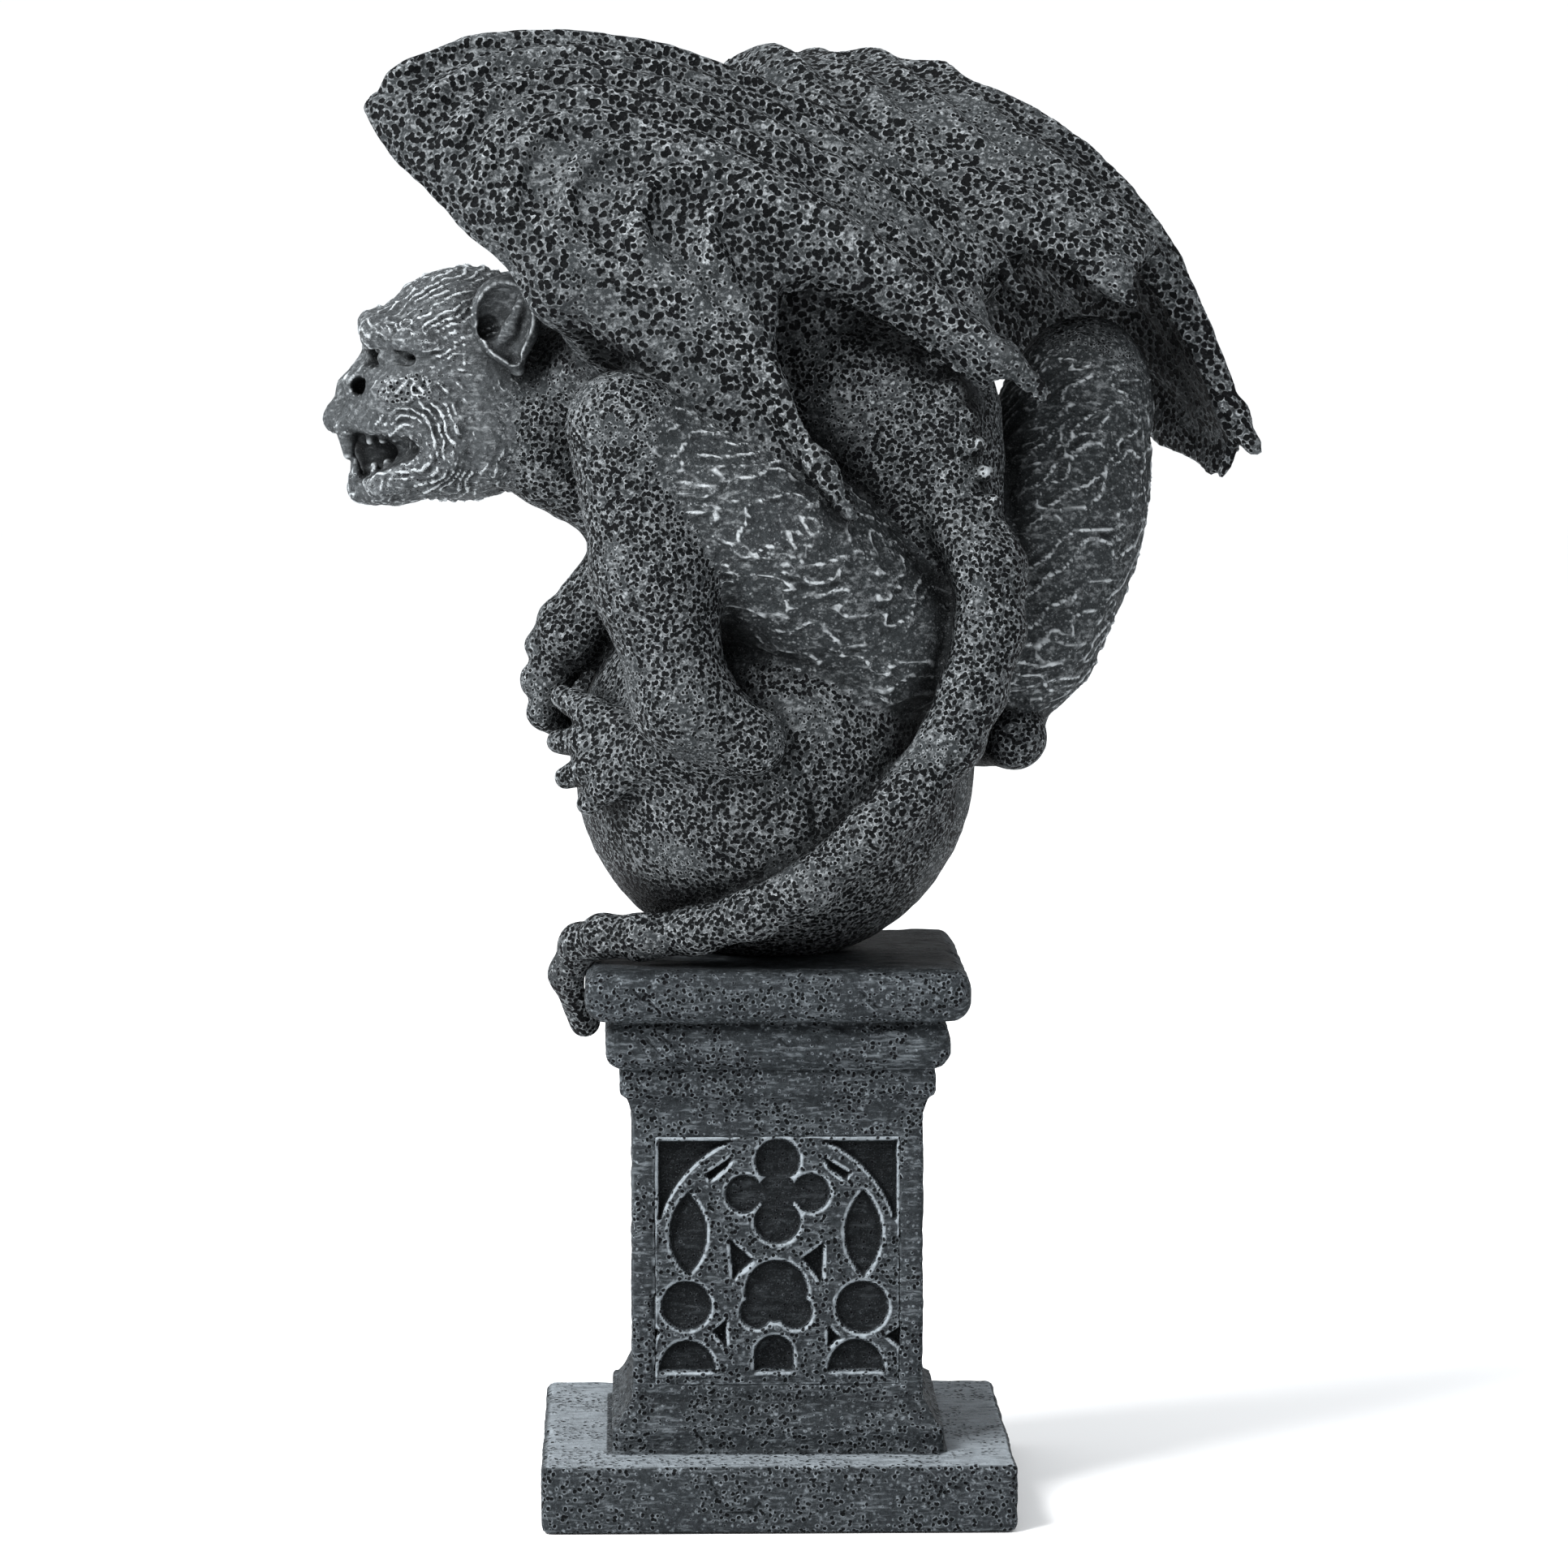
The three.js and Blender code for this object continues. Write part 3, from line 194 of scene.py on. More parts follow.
shaft_foot = SLAB["height"] + FOOT_BAND["height"] + FOOT_BEVEL
shaft_top = shaft_foot + SHAFT["height"]
low_band_foot = shaft_top + NECK["height"]
mid_band_foot = low_band_foot + LOW_BAND["height"]
top_plate_foot = mid_band_foot + MID_BAND["height"]
pedestal_top = top_plate_foot + TOP_PLATE["height"]

BALL_RADIUS = 46.8
BALL_SUNK = 2.6
ball_middle = np.array([0, 0, pedestal_top + BALL_RADIUS - BALL_SUNK])


def at(x, y, z):
    return np.array([x, y, z]) + ball_middle


print("pedestal top at", round(pedestal_top, 1), "mm, ball middle at", round(ball_middle[2], 1), "mm")

# %% Landmarks of the figure
hip = {"near": at(25, -23, 30), "far": at(57, 4, 30)}
knee = {"near": at(-35, -41, 80), "far": at(75, 33, 90)}
ankle = {"near": at(-22, -48, 18), "far": at(55, 20, 16)}
heel = {"near": at(-6, -49, 9), "far": at(56, -3, 6)}
shoulder = {"near": at(-42, -2, 90), "far": at(-26, 44, 90)}
deltoid = {"near": at(-56.5, 1, 79), "far": at(-38, 50, 78)}
wrist = {"near": at(-39, 2, 39), "far": at(-33, 30, 38)}
pelvis, loin, chest = at(34, -7, 34), at(27, -4, 62), at(-4, 10, 88)
head_middle = at(-76.8, 8, 88.2)

# %% [markdown]
# ## Legs, hands and body
# The legs are folded like a frog's: a heavy thigh, a shin that drops to the ball and a foot whose
# toes fan out over it. The trunk is four big ovals melted together. The arms come down between
# the knees and hold on to the ball.

# %% Legs and feet
def thigh_form(which):
    from_knee = hip[which] - knee[which]
    return blend(10, [
        limb(knee[which] + 0.1 * from_knee, 17.5 if which == "far" else 14.5, hip[which], 19.5),
        oval(knee[which] + 0.58 * from_knee, (34, 21, 22), from_knee, (0, 0, 1)),
    ])


def leg_form(which):
    calf = knee[which] + 0.55 * (ankle[which] - knee[which])
    shin = blend(6, [
        limb(knee[which], 13.2, calf, 13.6),
        limb(calf, 13.6, ankle[which], 10.5),
        limb(ankle[which], 10.5, heel[which], 7.4),
    ])
    return blend(4, [thigh_form(which), shin])


def foot_form(start, tips, root_share):
    root = start + root_share * (sum(tips) / len(tips) - start)
    forms = [limb(start, 7, root, 7.6)]
    for tip in tips:
        joint = root + 0.62 * (tip - root) + 1.6 * unit(tip - ball_middle)
        forms.append(limb(root + 0.15 * (tip - root), 4.4, joint, 4.1))
        forms.append(limb(joint, 3.9, tip, 2.7))
    return blend(2.4, forms)


toes = [at(-49.5, -15, 16.5), at(-50.5, -18, 6.5), at(-48.5, -23, -1.5), at(-43.5, -29, -7)]
far_toes = [np.array([t[0] * 0.05 + 33, -t[1] * 0.6 + 32, t[2]]) for t in toes]
legs = blend(2.2, [
    leg_form("near"),
    leg_form("far"),
    foot_form(heel["near"], toes, 0.5),
    foot_form(heel["far"], far_toes, 0.45),
])
print("legs from", legs.low.round(1), "to", legs.high.round(1))


# %% Trunk, arms and hands
def hand_form(start, palm, knuckles, reach_in):
    forms = [limb(start, 9.4, palm, 9.2)]
    for knuckle in knuckles:
        forms.append(limb(palm, 4.5, knuckle, 4))
        forms.append(limb(knuckle, 3.9, knuckle + np.array(reach_in), 2.8))
    return blend(2.2, forms)


def arm_form(which):
    top, hand = deltoid[which], wrist[which]
    elbow = hand + (8, 0, 14)
    return blend(6, [
        limb(chest, 16, shoulder[which], 12.5),
        limb(shoulder[which], 11.5, top, 11),
        limb(top, 10.8, top + (4, 0, -9), 9.5),
        limb(top + (4, 0, -8), 9.5, elbow, 8),
        limb(elbow, 8, hand, 8.5),
    ])


def trunk_form():
    torso = blend(16, [
        oval(pelvis, (25, 25, 24)),
        oval(loin, (27, 24, 25), (0.5, -0.3, 0.8), (0.6, 0.8, 0)),
        oval(chest, (36, 27, 25), (0.78, -0.3, 0.25), (0.3, 0.8, 0)),
        oval(at(25, 0, 84), (26, 25, 22)),
    ])
    ridge = limb(at(40, -27, 66), 5, at(40, -20, 84), 5)
    neck = limb(at(-30, 12, 93), 17, at(-58, 9, 91), 14.5)
    knobs = []
    for t in np.linspace(0, 1, 7):
        spine = at(50 - 12.5 * t**1.5, -33.5 + 12 * t, 56 + 39 * t)
        knobs.append(oval(spine, (2.6, 2.6, 2.1)))
    return blend(3, [blend(7, [torso, ridge, neck, arm_form("near"), arm_form("far")]), *knobs])


hands = [
    hand_form(wrist["near"], at(-47, 1, 30),
              [at(-50.5, 1, 34), at(-54, 2, 27), at(-55, 1, 19), at(-53.5, -1, 12)], (6, 3, -6)),
    hand_form(wrist["far"], at(-38, 31, 26),
              [at(-40, 37, 27), at(-44, 33, 22), at(-46, 27, 16), at(-46, 22, 10)], (4, -3, -6)),
]
trunk = blend(2.2, [trunk_form(), *hands])
print("trunk from", trunk.low.round(1), "to", trunk.high.round(1))

# %% [markdown]
# ## Tail and ball
# The tail leaves the spine at the right, sweeps down the front of the ball and curls over the
# corner of the pedestal. It is a chain of tapering links along its route.

# %% Tail and ball
tail_route = [
    at(42, -26, 58), at(48.5, -34, 47), at(48.4, -38, 33), at(44.6, -40.5, 20), at(39.5, -42, 8.5),
    at(31.5, -42.5, -2), at(20.4, -45, -13), at(7.5, -45, -24), at(-5.4, -41.5, -31), at(-18.4, -36, -35.6),
    at(-31.4, -31, -37.8), at(-40, -26, -38), at(-45.5, -20, -40.5), at(-48.4, -15, -48), at(-44.5, -8, -60),
]
TAIL_ROOT, TAIL_TIP = 18, 7.5
shares = (np.arange(len(tail_route)) / (len(tail_route) - 1)) ** 0.8
tail_radii = (TAIL_ROOT + (TAIL_TIP - TAIL_ROOT) * shares) / 2
ball_and_tail = blend(1.8, [chain(tail_route, list(tail_radii)), oval(ball_middle, (BALL_RADIUS,) * 3)])
print("tail has", len(tail_route), "points")

# %% [markdown]
# ## Head
# An ape-like head with a jutting brow, a flat nose, wide open jaws and big cupped ears. Its own
# directions are f forward, s to the side and z up. The mouth, eye sockets and nostrils are carved
# out of the bulk, and then the tongue, eyes and teeth are set in.

# %% Head
def head_form():
    def h(f, s, z):
        return head_middle + (-f, s, z)

    def egg(f, s, z, rf, rs, rz):
        return oval(h(f, s, z), (rf, rs, rz))

    def both(make):
        return [make(-1), make(1)]

    skull = blend(7, [
        egg(-5, 0, 7.5, 22, 19, 20), egg(-12, 0, -2, 18, 17, 17), egg(5, 0, -3, 17, 16.5, 13),
        *both(lambda s: limb(h(-10, s * 9, -14), 10, h(8, s * 6, -19.5), 6.6)),
    ])
    muzzle = blend(3, [
        egg(12, 0, -6.4, 12.3, 11.4, 4.6), egg(9, 0, 1, 7.5, 7, 7),
        *both(lambda s: limb(h(25, 0, -8), 3, h(16.5, s * 9.8, -8.6), 2.7)),
        *both(lambda s: limb(h(16.5, s * 9.8, -8.6), 2.7, h(6.5, s * 13.8, -12), 2.5)),
        *both(lambda s: egg(8.5, s * 11.4, -1.4, 8.2, 5, 5.4)),
    ])
    jaw = blend(3, [
        egg(13.6, 0, -24.4, 8.4, 9.4, 4),
        *both(lambda s: limb(h(19.6, s * 3, -24.2), 3, h(14.5, s * 8.4, -23.2), 2.7)),
        *both(lambda s: limb(h(14.5, s * 8.4, -23.2), 2.7, h(3.4, s * 13, -19), 3.2)),
        egg(-3, 0, -21, 15, 12, 6.2),
    ])
    brow = blend(3, [
        *both(lambda s: limb(h(16.2, s * 2, 13.4), 4, h(15, s * 9, 12.2), 3.9)),
        *both(lambda s: limb(h(15, s * 9, 12.2), 3.7, h(5, s * 16, 10.4), 2.8)),
    ])
    nose = blend(1.4, [
        limb(h(15.5, 0, 7.5), 3, h(22, 0, -1), 3.3), limb(h(22, 0, -1), 3.2, h(24.4, 0, -5.6), 2.4),
        *both(lambda s: egg(19.6, s * 4.2, -0.4, 4, 2.8, 3.6)),
        *both(lambda s: limb(h(16.2, s * 6.4, 1.2), 1.2, h(18.8, s * 7.4, 3.2), 1.4)),
        *both(lambda s: limb(h(18.8, s * 7.4, 3.2), 1.4, h(21.9, s * 6.6, 1.4), 1.3)),
        *both(lambda s: limb(h(21.9, s * 6.6, 1.4), 1.3, h(21.6, s * 6.6, -2.4), 1.2)),
    ])
    folds = []
    for s in (-1, 1):
        by_mouth = [h(12, s * 12.4, -5.2), h(4, s * 15.2, -8.6), h(1.6, s * 15.8, -14), h(5.4, s * 14.4, -19.6)]
        by_cheek = [h(14, s * 9.6, 1.6), h(4, s * 14.6, -1.4), h(-3, s * 16.8, -8), h(-2.6, s * 16.2, -16),
                    h(4, s * 12.8, -24)]
        folds += [chain(by_mouth, [1.1, 1.5, 1.5, 1]), chain(by_cheek, [1.2, 1.9, 2, 1.8, 1])]
    form = blend(2, [blend(3.4, [skull, muzzle, jaw, brow]), nose, *folds])
    mouth = blend(2, [
        egg(18.5, 0, -16.2, 12, 9.4, 4.9),
        *both(lambda s: limb(h(18.5, s * 8.6, -16.2), 4.9, h(8.2, s * 13.6, -13.9), 2.5)),
    ])
    tongue = [egg(12, 0.3, -15.6, 9.4, 4, 5.8), egg(11, 0, -19.6, 9, 7, 3)]
    palate = egg(18.8, 0, -12.2, 4, 4.4, 3)
    sockets = both(lambda s: limb(h(15, s * 9, 6.8), 2.6, h(7.6, s * 14.5, 6.6), 2.2))
    nostrils = both(lambda s: limb(h(19.6, s * 8, -0.2), 2, h(19.4, s * 4, -0.6), 1.6))
    form = carve(1.2, form, mouth)
    form = blend(1, [form, *tongue, palate])
    form = carve(1.2, form, blend(1, sockets))
    form = carve(0.7, form, blend(0.5, nostrils))
    lids = both(lambda s: limb(h(15, s * 8.6, 8.4), 1.1, h(6.6, s * 14.4, 8.2), 1.2))
    lids += both(lambda s: limb(h(14.8, s * 8.8, 4.2), 1, h(6.4, s * 14.6, 5), 1.2))
    eyes = both(lambda s: egg(10.9, s * 11, 6.4, 4.6, 3.3, 3))
    teeth = both(lambda s: limb(h(23.4, s * 1.7, -10), 2.1, h(23, s * 1.8, -13.6), 1.3))
    for s in (-1, 1):
        teeth.append(limb(h(23, s * 4.6, -9.6), 2.9, h(22.5, s * 5, -16.2), 1.3))
        teeth.append(limb(h(20.8, s * 5.2, -22), 1.9, h(21.2, s * 5.2, -17.6), 0.9))
        for i in range(4):
            f, out = 17.4 - 3 * i, s * (7.2 + 0.85 * i)
            teeth.append(limb(h(f, out, -10.8), 1.2, h(f, out, -13 + 0.3 * i), 1))
            teeth.append(limb(h(f - 1, out, -20.6 + 0.8 * i), 1.2, h(f - 1, out, -18.8 + 0.8 * i), 1))
    form = blend(0.7, [form, *eyes, *lids, *teeth])
    for s in (-1, 1):
        lean, up = (1, s * 0.42, 0.1), (0, 0, 1)
        bowl = blend(3, [oval(h(-14.6, s * 21, 16.2), (8.8, 9.8, 4.4), lean, up),
                         limb(h(-15.4, s * 20.6, 9.5), 4.8, h(-17.2, s * 19.8, 4.4), 1.9)])
        hollow = blend(3, [oval(h(-13.8, s * 25, 16.4), (6.8, 7.6, 5.2), lean, up),
                           limb(h(-14.8, s * 24.6, 10), 3.4, h(-16.4, s * 23, 6.8), 1.3)])
        inner = chain([h(-18.6, s * 22.6, 20), h(-15.6, s * 21, 13.4), h(-12.4, s * 20, 9.6)], [1.5, 1.4, 1.6])
        form = carve(0.8, blend(1.6, [form, carve(1, bowl, hollow)]), hollow)
        form = blend(1.2, [form, inner])
        form = carve(0.8, form, egg(-10.6, s * 20, 13.6, 2.6, 3.4, 3))
    return form


head = head_form()
print("head from", head.low.round(1), "to", head.high.round(1))

# %% [markdown]
# ## Wings
# A bat-like wing is a domed skin stretched over ribs. Seen flat it is an outline, and over that
# outline the skin rises in a dome with a rounded swelling along every rib. Both are worked out
# once on a grid of the flat wing and then read back, which is much quicker than measuring to
# every rib at every point in space.

# %% Flat measures of a wing
def segment_distance(u, v, a, b):
    ex, ey = b[0] - a[0], b[1] - a[1]
    t = np.clip(((u - a[0]) * ex + (v - a[1]) * ey) / (ex * ex + ey * ey), 0, 1)
    return np.hypot(u - a[0] - ex * t, v - a[1] - ey * t)


def outline_distance(points, u, v):
    """Distance to a closed outline, negative inside it."""
    best = np.full(np.shape(u), np.inf)
    inside = np.zeros(np.shape(u), bool)
    for a, b in zip(points, points[-1:] + points[:-1]):
        best = np.minimum(best, segment_distance(u, v, a, b))
        if a[1] != b[1]:
            inside ^= ((a[1] > v) != (b[1] > v)) & (u < a[0] + (b[0] - a[0]) * (v - a[1]) / (b[1] - a[1]))
    return np.where(inside, -best, best)


def rib_family(first, last, count):
    """Curves that turn evenly from one edge curve into another."""
    t = np.linspace(0, 1, 15)[:, None]
    weights = np.hstack([(1 - t) ** 3, 3 * t * (1 - t) ** 2, 3 * t * t * (1 - t), t**3])
    first, last = np.array(first, float), np.array(last, float)
    return [weights @ (first + (last - first) * i / (count - 1)) for i in range(count)]


# %% A wing as a form
WING_SHELL = 6
GRID_STEP = 1.0
GRID_LOW = np.array([-20.0, -75.0])
GRID_COUNT = (217, 150)


class Wing:
    """A domed shell over a flat outline: u runs from the wrist to the tips, w points outwards."""

    def __init__(self, wrist, along, out, outline, dome, ribs, lean, claws, rib_height=2.3, rib_width=2.7):
        self.wrist = np.asarray(wrist, float)
        self.u = unit(along)
        self.w = unit(np.array(out) - self.u * (self.u @ np.array(out)))
        self.v = np.cross(self.w, self.u)
        self.lean = lean
        a, b = np.meshgrid(*[GRID_LOW[k] + GRID_STEP * np.arange(GRID_COUNT[k]) for k in (0, 1)], indexing="ij")
        self.edge = outline_distance(outline, a, b)
        self.height = dome(a, b)
        self.crest = np.zeros_like(a)
        for first, last, count in ribs:
            for rib in rib_family(first, last, count):
                near = np.full(a.shape, np.inf)
                for start, end in zip(rib[:-1], rib[1:]):
                    near = np.minimum(near, segment_distance(a, b, start, end))
                self.crest += np.exp(-((near / rib_width) ** 2))
        self.height += rib_height * self.crest
        self.claws = [self.claw(*c) for c in claws]
        kept = self.edge < 2
        rim = np.stack([self.wrist + self.u * x + self.v * y + self.w * z
                        for x, y, z in zip(a[kept], b[kept], self.height[kept])])
        self.wall = Form(self.wall_distance, rim.min(0) - WING_SHELL, rim.max(0) + WING_SHELL)

    def read(self, field, a, b):
        x = np.clip((a - GRID_LOW[0]) / GRID_STEP, 0, GRID_COUNT[0] - 1.001)
        y = np.clip((b - GRID_LOW[1]) / GRID_STEP, 0, GRID_COUNT[1] - 1.001)
        i, j = x.astype(int), y.astype(int)
        fx, fy = x - i, y - j
        top = field[i, j] * (1 - fx) + field[i + 1, j] * fx
        bottom = field[i, j + 1] * (1 - fx) + field[i + 1, j + 1] * fx
        return top * (1 - fy) + bottom * fy

    def flat(self, p):
        q = p - self.wrist
        return q @ self.u, q @ self.v, q @ self.w

    def wall_distance(self, p, ball):
        a, b, c = self.flat(p)
        rise = np.abs(c - self.read(self.height, a, b)) * self.lean - WING_SHELL / 2 + 2
        rim = self.read(self.edge, a, b) + 2
        outer = np.hypot(np.maximum(rise, 0), np.maximum(rim, 0))
        return np.minimum(np.maximum(rise, rim), 0) + outer - 2

    def place(self, a, b, c):
        rise = self.read(self.height, np.array([float(a)]), np.array([float(b)]))[0] + c
        return self.wrist + self.u * a + self.v * b + self.w * rise

    def claw(self, a, b, du, dv, size):
        base = self.place(a - du * 3, b - dv * 3, 0)
        return limb(base, 3.6, base + size * (self.u * du + self.v * dv - self.w * 0.12), 1.9)


# %% The two wings
def near_dome(u, v):
    rise = np.sin(np.pi * np.clip((u + 22) / 200, 0, 1)) ** 0.8
    return 27 * rise * (1 - (v / 56) ** 2) - 10 - 0.1 * v * (u / 150)


def far_dome(u, v):
    rise = np.sin(np.pi * np.clip((u + 14) / 190, 0, 1)) ** 0.8
    return 49 * rise * (1 - ((v - 6) / 46) ** 2) - 9 - 0.15 * v


near_wing = Wing(
    at(-93, -15, 154.5), (0.94, -0.016, -0.34), (0.157, -0.863, 0.475),
    [(-1, -3), (4, 8), (18, 20), (38, 29), (60, 35), (86, 36), (110, 33), (130, 25), (148, 13), (146, 4),
     (150, -4), (160, -12), (155, -18), (131, -14), (110, -13), (103, -19), (107, -33), (116, -45),
     (128, -55), (118, -58), (90, -49), (62, -38), (34, -28), (11, -15)],
    near_dome,
    [([(2, 4), (30, 40), (95, 44), (149, 12)], [(40, -24), (22, 14), (75, 16), (160, -12)], 5),
     ([(52, -22), (40, 6), (80, 12), (158, -13)], [(86, -22), (72, 2), (100, 0), (154, -14)], 3),
     ([(46, -24), (66, -30), (95, -30), (128, -54)], [(86, -18), (92, -24), (100, -30), (126, -54)], 3)],
    0.86,
    [(148, 13, 0.86, -0.5, 12), (160, -12, 0.92, -0.38, 11), (127, -54, 0.82, -0.57, 13)],
)
far_wing = Wing(
    at(-8, 79, 156.5), (0.675, -0.444, -0.588), (0.62, -0.1, 0.78),
    [(-3, 2), (0, -14), (18, -28), (45, -36), (70, -38), (93, -36), (97, -28), (106, -24), (120, -18),
     (114, -8), (113, -1), (121, 5), (138, 13), (154, 22), (148, 30), (130, 40), (104, 46), (70, 48),
     (36, 40), (10, 22)],
    far_dome,
    [([(4, -12), (40, -44), (80, -40), (118, -17)], [(30, 6), (60, -22), (90, -16), (114, -4)], 4),
     ([(6, 0), (50, -6), (95, 0), (148, 18)], [(8, 14), (50, 44), (100, 46), (148, 24)], 4)],
    0.78,
    [(117, -18, 0.8, 0.1, 10), (149, 20, 0.85, -0.1, 11), (140, 30, 0.95, 0.2, 10)],
)


def wing_group(wing, arm):
    """A wing with its claws and the arm that carries it: to the elbow, along the rim, and a web."""
    (root, r0), (elbow, r1), (tip, r2), (web, r3), (spread, r4) = arm
    carrier = blend(9, [limb(root, r0, elbow, r1), limb(elbow, r1 - 0.7, tip, r2), limb(web, r3, spread, r4)])
    return blend(3, [wing.wall, carrier, *wing.claws])


near_group = wing_group(near_wing, [
    (shoulder["near"] + (14, 0, 4), 14), (near_wing.place(56, -32, -4), 6.3), (near_wing.place(6, -3, -1), 4.5),
    (at(8, -2, 96), 15), (near_wing.place(108, 8, -6), 8)])
far_group = wing_group(far_wing, [
    (at(-8, 36, 92), 14), (far_wing.place(48, 30, -6), 7.7), (far_wing.place(3, 4, -1), 4.5),
    (at(22, 14, 96), 15), (far_wing.place(88, -22, -5), 8)])
print("wings ready after", round(time.time() - started, 1), "s")

# %% [markdown]
# ## The pedestal as a form
# The pedestal is a pile of square bands with softened edges, which can be written as forms too.
# The casting of the gargoyle is cut to the capital, so its ball and tail sit on it.

# %% Bands with softened edges
def square_distance(p, half, corner):
    q = np.abs(p[:, :2]) - (np.asarray(half) - corner)[..., None]
    return np.hypot(*np.maximum(q, 0).T) + np.minimum(q.max(1), 0) - corner


def band(half, corner, low, high, rounding, grow=0.0):
    """A square slab between two heights, with rounded corners and edges."""
    middle, tall = (low + high) / 2, (high - low) / 2 + grow

    def distance(p, ball):
        side = square_distance(p, half + grow, corner) + rounding
        rise = np.abs(p[:, 2] - middle) - tall + rounding
        outer = np.hypot(np.maximum(side, 0), np.maximum(rise, 0))
        return outer + np.minimum(np.maximum(side, rise), 0) - rounding

    reach = np.array([half + grow, half + grow, tall])
    return Form(distance, (0, 0, middle) - reach, (0, 0, middle) + reach)


def capital_bands(grow):
    rows = [(LOW_BAND, low_band_foot), (MID_BAND, mid_band_foot), (TOP_PLATE, top_plate_foot)]
    return [band(b["width"] / 2, b["corner"], z, z + b["height"], b["round"], grow) for b, z in rows]


CAPITAL_GAP = 0.15
capital = capital_bands(CAPITAL_GAP)
print("capital from", round(low_band_foot, 1), "to", round(pedestal_top, 1), "mm")

# %% [markdown]
# ## From forms to a mesh
# The forms are sampled on a grid, only near the surface. Every grid cell that the surface crosses
# gets one point, and every grid edge that it crosses gets one quad: a surface net. Each point is
# then pulled on to the true surface along the slope of the distance. The casting is too large for
# one mesh of this fineness, so each group of forms gets a net of its own. A net follows the whole
# melted casting but stops just inside its neighbours, so the nets meet without a seam.

# %% Measuring the casting
GROUPS = {
    "near_wing": near_group, "far_wing": far_group, "head": head,
    "trunk": trunk, "legs": legs, "ball_and_tail": ball_and_tail,
}
group_names = list(GROUPS)
GROUP_MELT = 2.4
OVERLAP = 2.2


def casting_distances(p, ball):
    """The whole casting's distance, and that of each group."""
    each = []
    for form in GROUPS.values():
        away = form.away(ball)
        each.append(np.full(len(p), away) if away > FAR else form.distance(p, ball))
    whole = each[0]
    for d in each[1:]:
        whole = soft_min(whole, d, GROUP_MELT)
    for form in capital:
        if form.away(ball) < 4:
            whole = np.maximum(whole, -form.distance(p, ball))
    return whole, np.stack(each, 1)


def group_field(name):
    """The part of the casting that belongs to one group."""
    index = group_names.index(name)
    form = GROUPS[name]

    def distance(p, ball):
        own = form.distance(p, ball) - OVERLAP
        if own.min() > OVERLAP:
            return own
        whole, each = casting_distances(p, ball)
        return np.maximum(whole, each[:, index] - OVERLAP)

    return Form(distance, form.low - OVERLAP, form.high + OVERLAP)


# %% Sampling near the surface
CHUNK = 10.0


def sample(form, low, high, step):
    """Fills a grid with distances: exact near the surface, only signed elsewhere."""
    size = int(round(CHUNK / step))
    count = np.ceil((np.asarray(high) - low) / (size * step)).astype(int)
    value = np.full(count * size + 1, 50.0, np.float32)
    offsets = np.stack(np.meshgrid(*[np.arange(size + 1)] * 3, indexing="ij"), -1).reshape(-1, 3)
    radius = size * step * math.sqrt(3) / 2
    for cell in np.ndindex(*count):
        start = np.array(cell) * size
        centre = np.asarray(low) + (start + size / 2) * step
        ball = (centre, radius)
        if form.away(ball) > 2:
            continue
        middle = form.distance(centre[None], ball)[0]
        window = tuple(slice(s, s + size + 1) for s in start)
        if abs(middle) > radius * 1.25 + 3.5:
            value[window] = np.sign(middle) * 50
            continue
        found = form.distance(np.asarray(low) + (start + offsets) * step, ball)
        value[window] = found.reshape((size + 1,) * 3)
    return value


def settle(value):
    """Fills grid faces whose corners are in and out by turns, so that the net stays simple."""
    changed = True
    while changed:
        changed = False
        for s, t in ((0, 1), (1, 2), (2, 0)):
            cut = [[slice(None)] * 3 for _ in range(4)]
            for n, (ds, dt) in enumerate(((0, 0), (1, 0), (0, 1), (1, 1))):
                cut[n][s] = slice(ds, value.shape[s] - 1 + ds)
                cut[n][t] = slice(dt, value.shape[t] - 1 + dt)
            a, b, c, d = [value[tuple(k)] < 0 for k in cut]
            spots = np.argwhere((a == d) & (b == c) & (a != b))
            for spot in spots:
                corners = []
                for ds, dt in ((0, 0), (1, 0), (0, 1), (1, 1)):
                    corner = spot.copy()
                    corner[s] += ds
                    corner[t] += dt
                    corners.append(tuple(corner))
                outside = [k for k in corners if value[k] >= 0]
                if len(outside) == 2:
                    value[min(outside, key=lambda k: value[k])] = -1e-3
                    changed = True


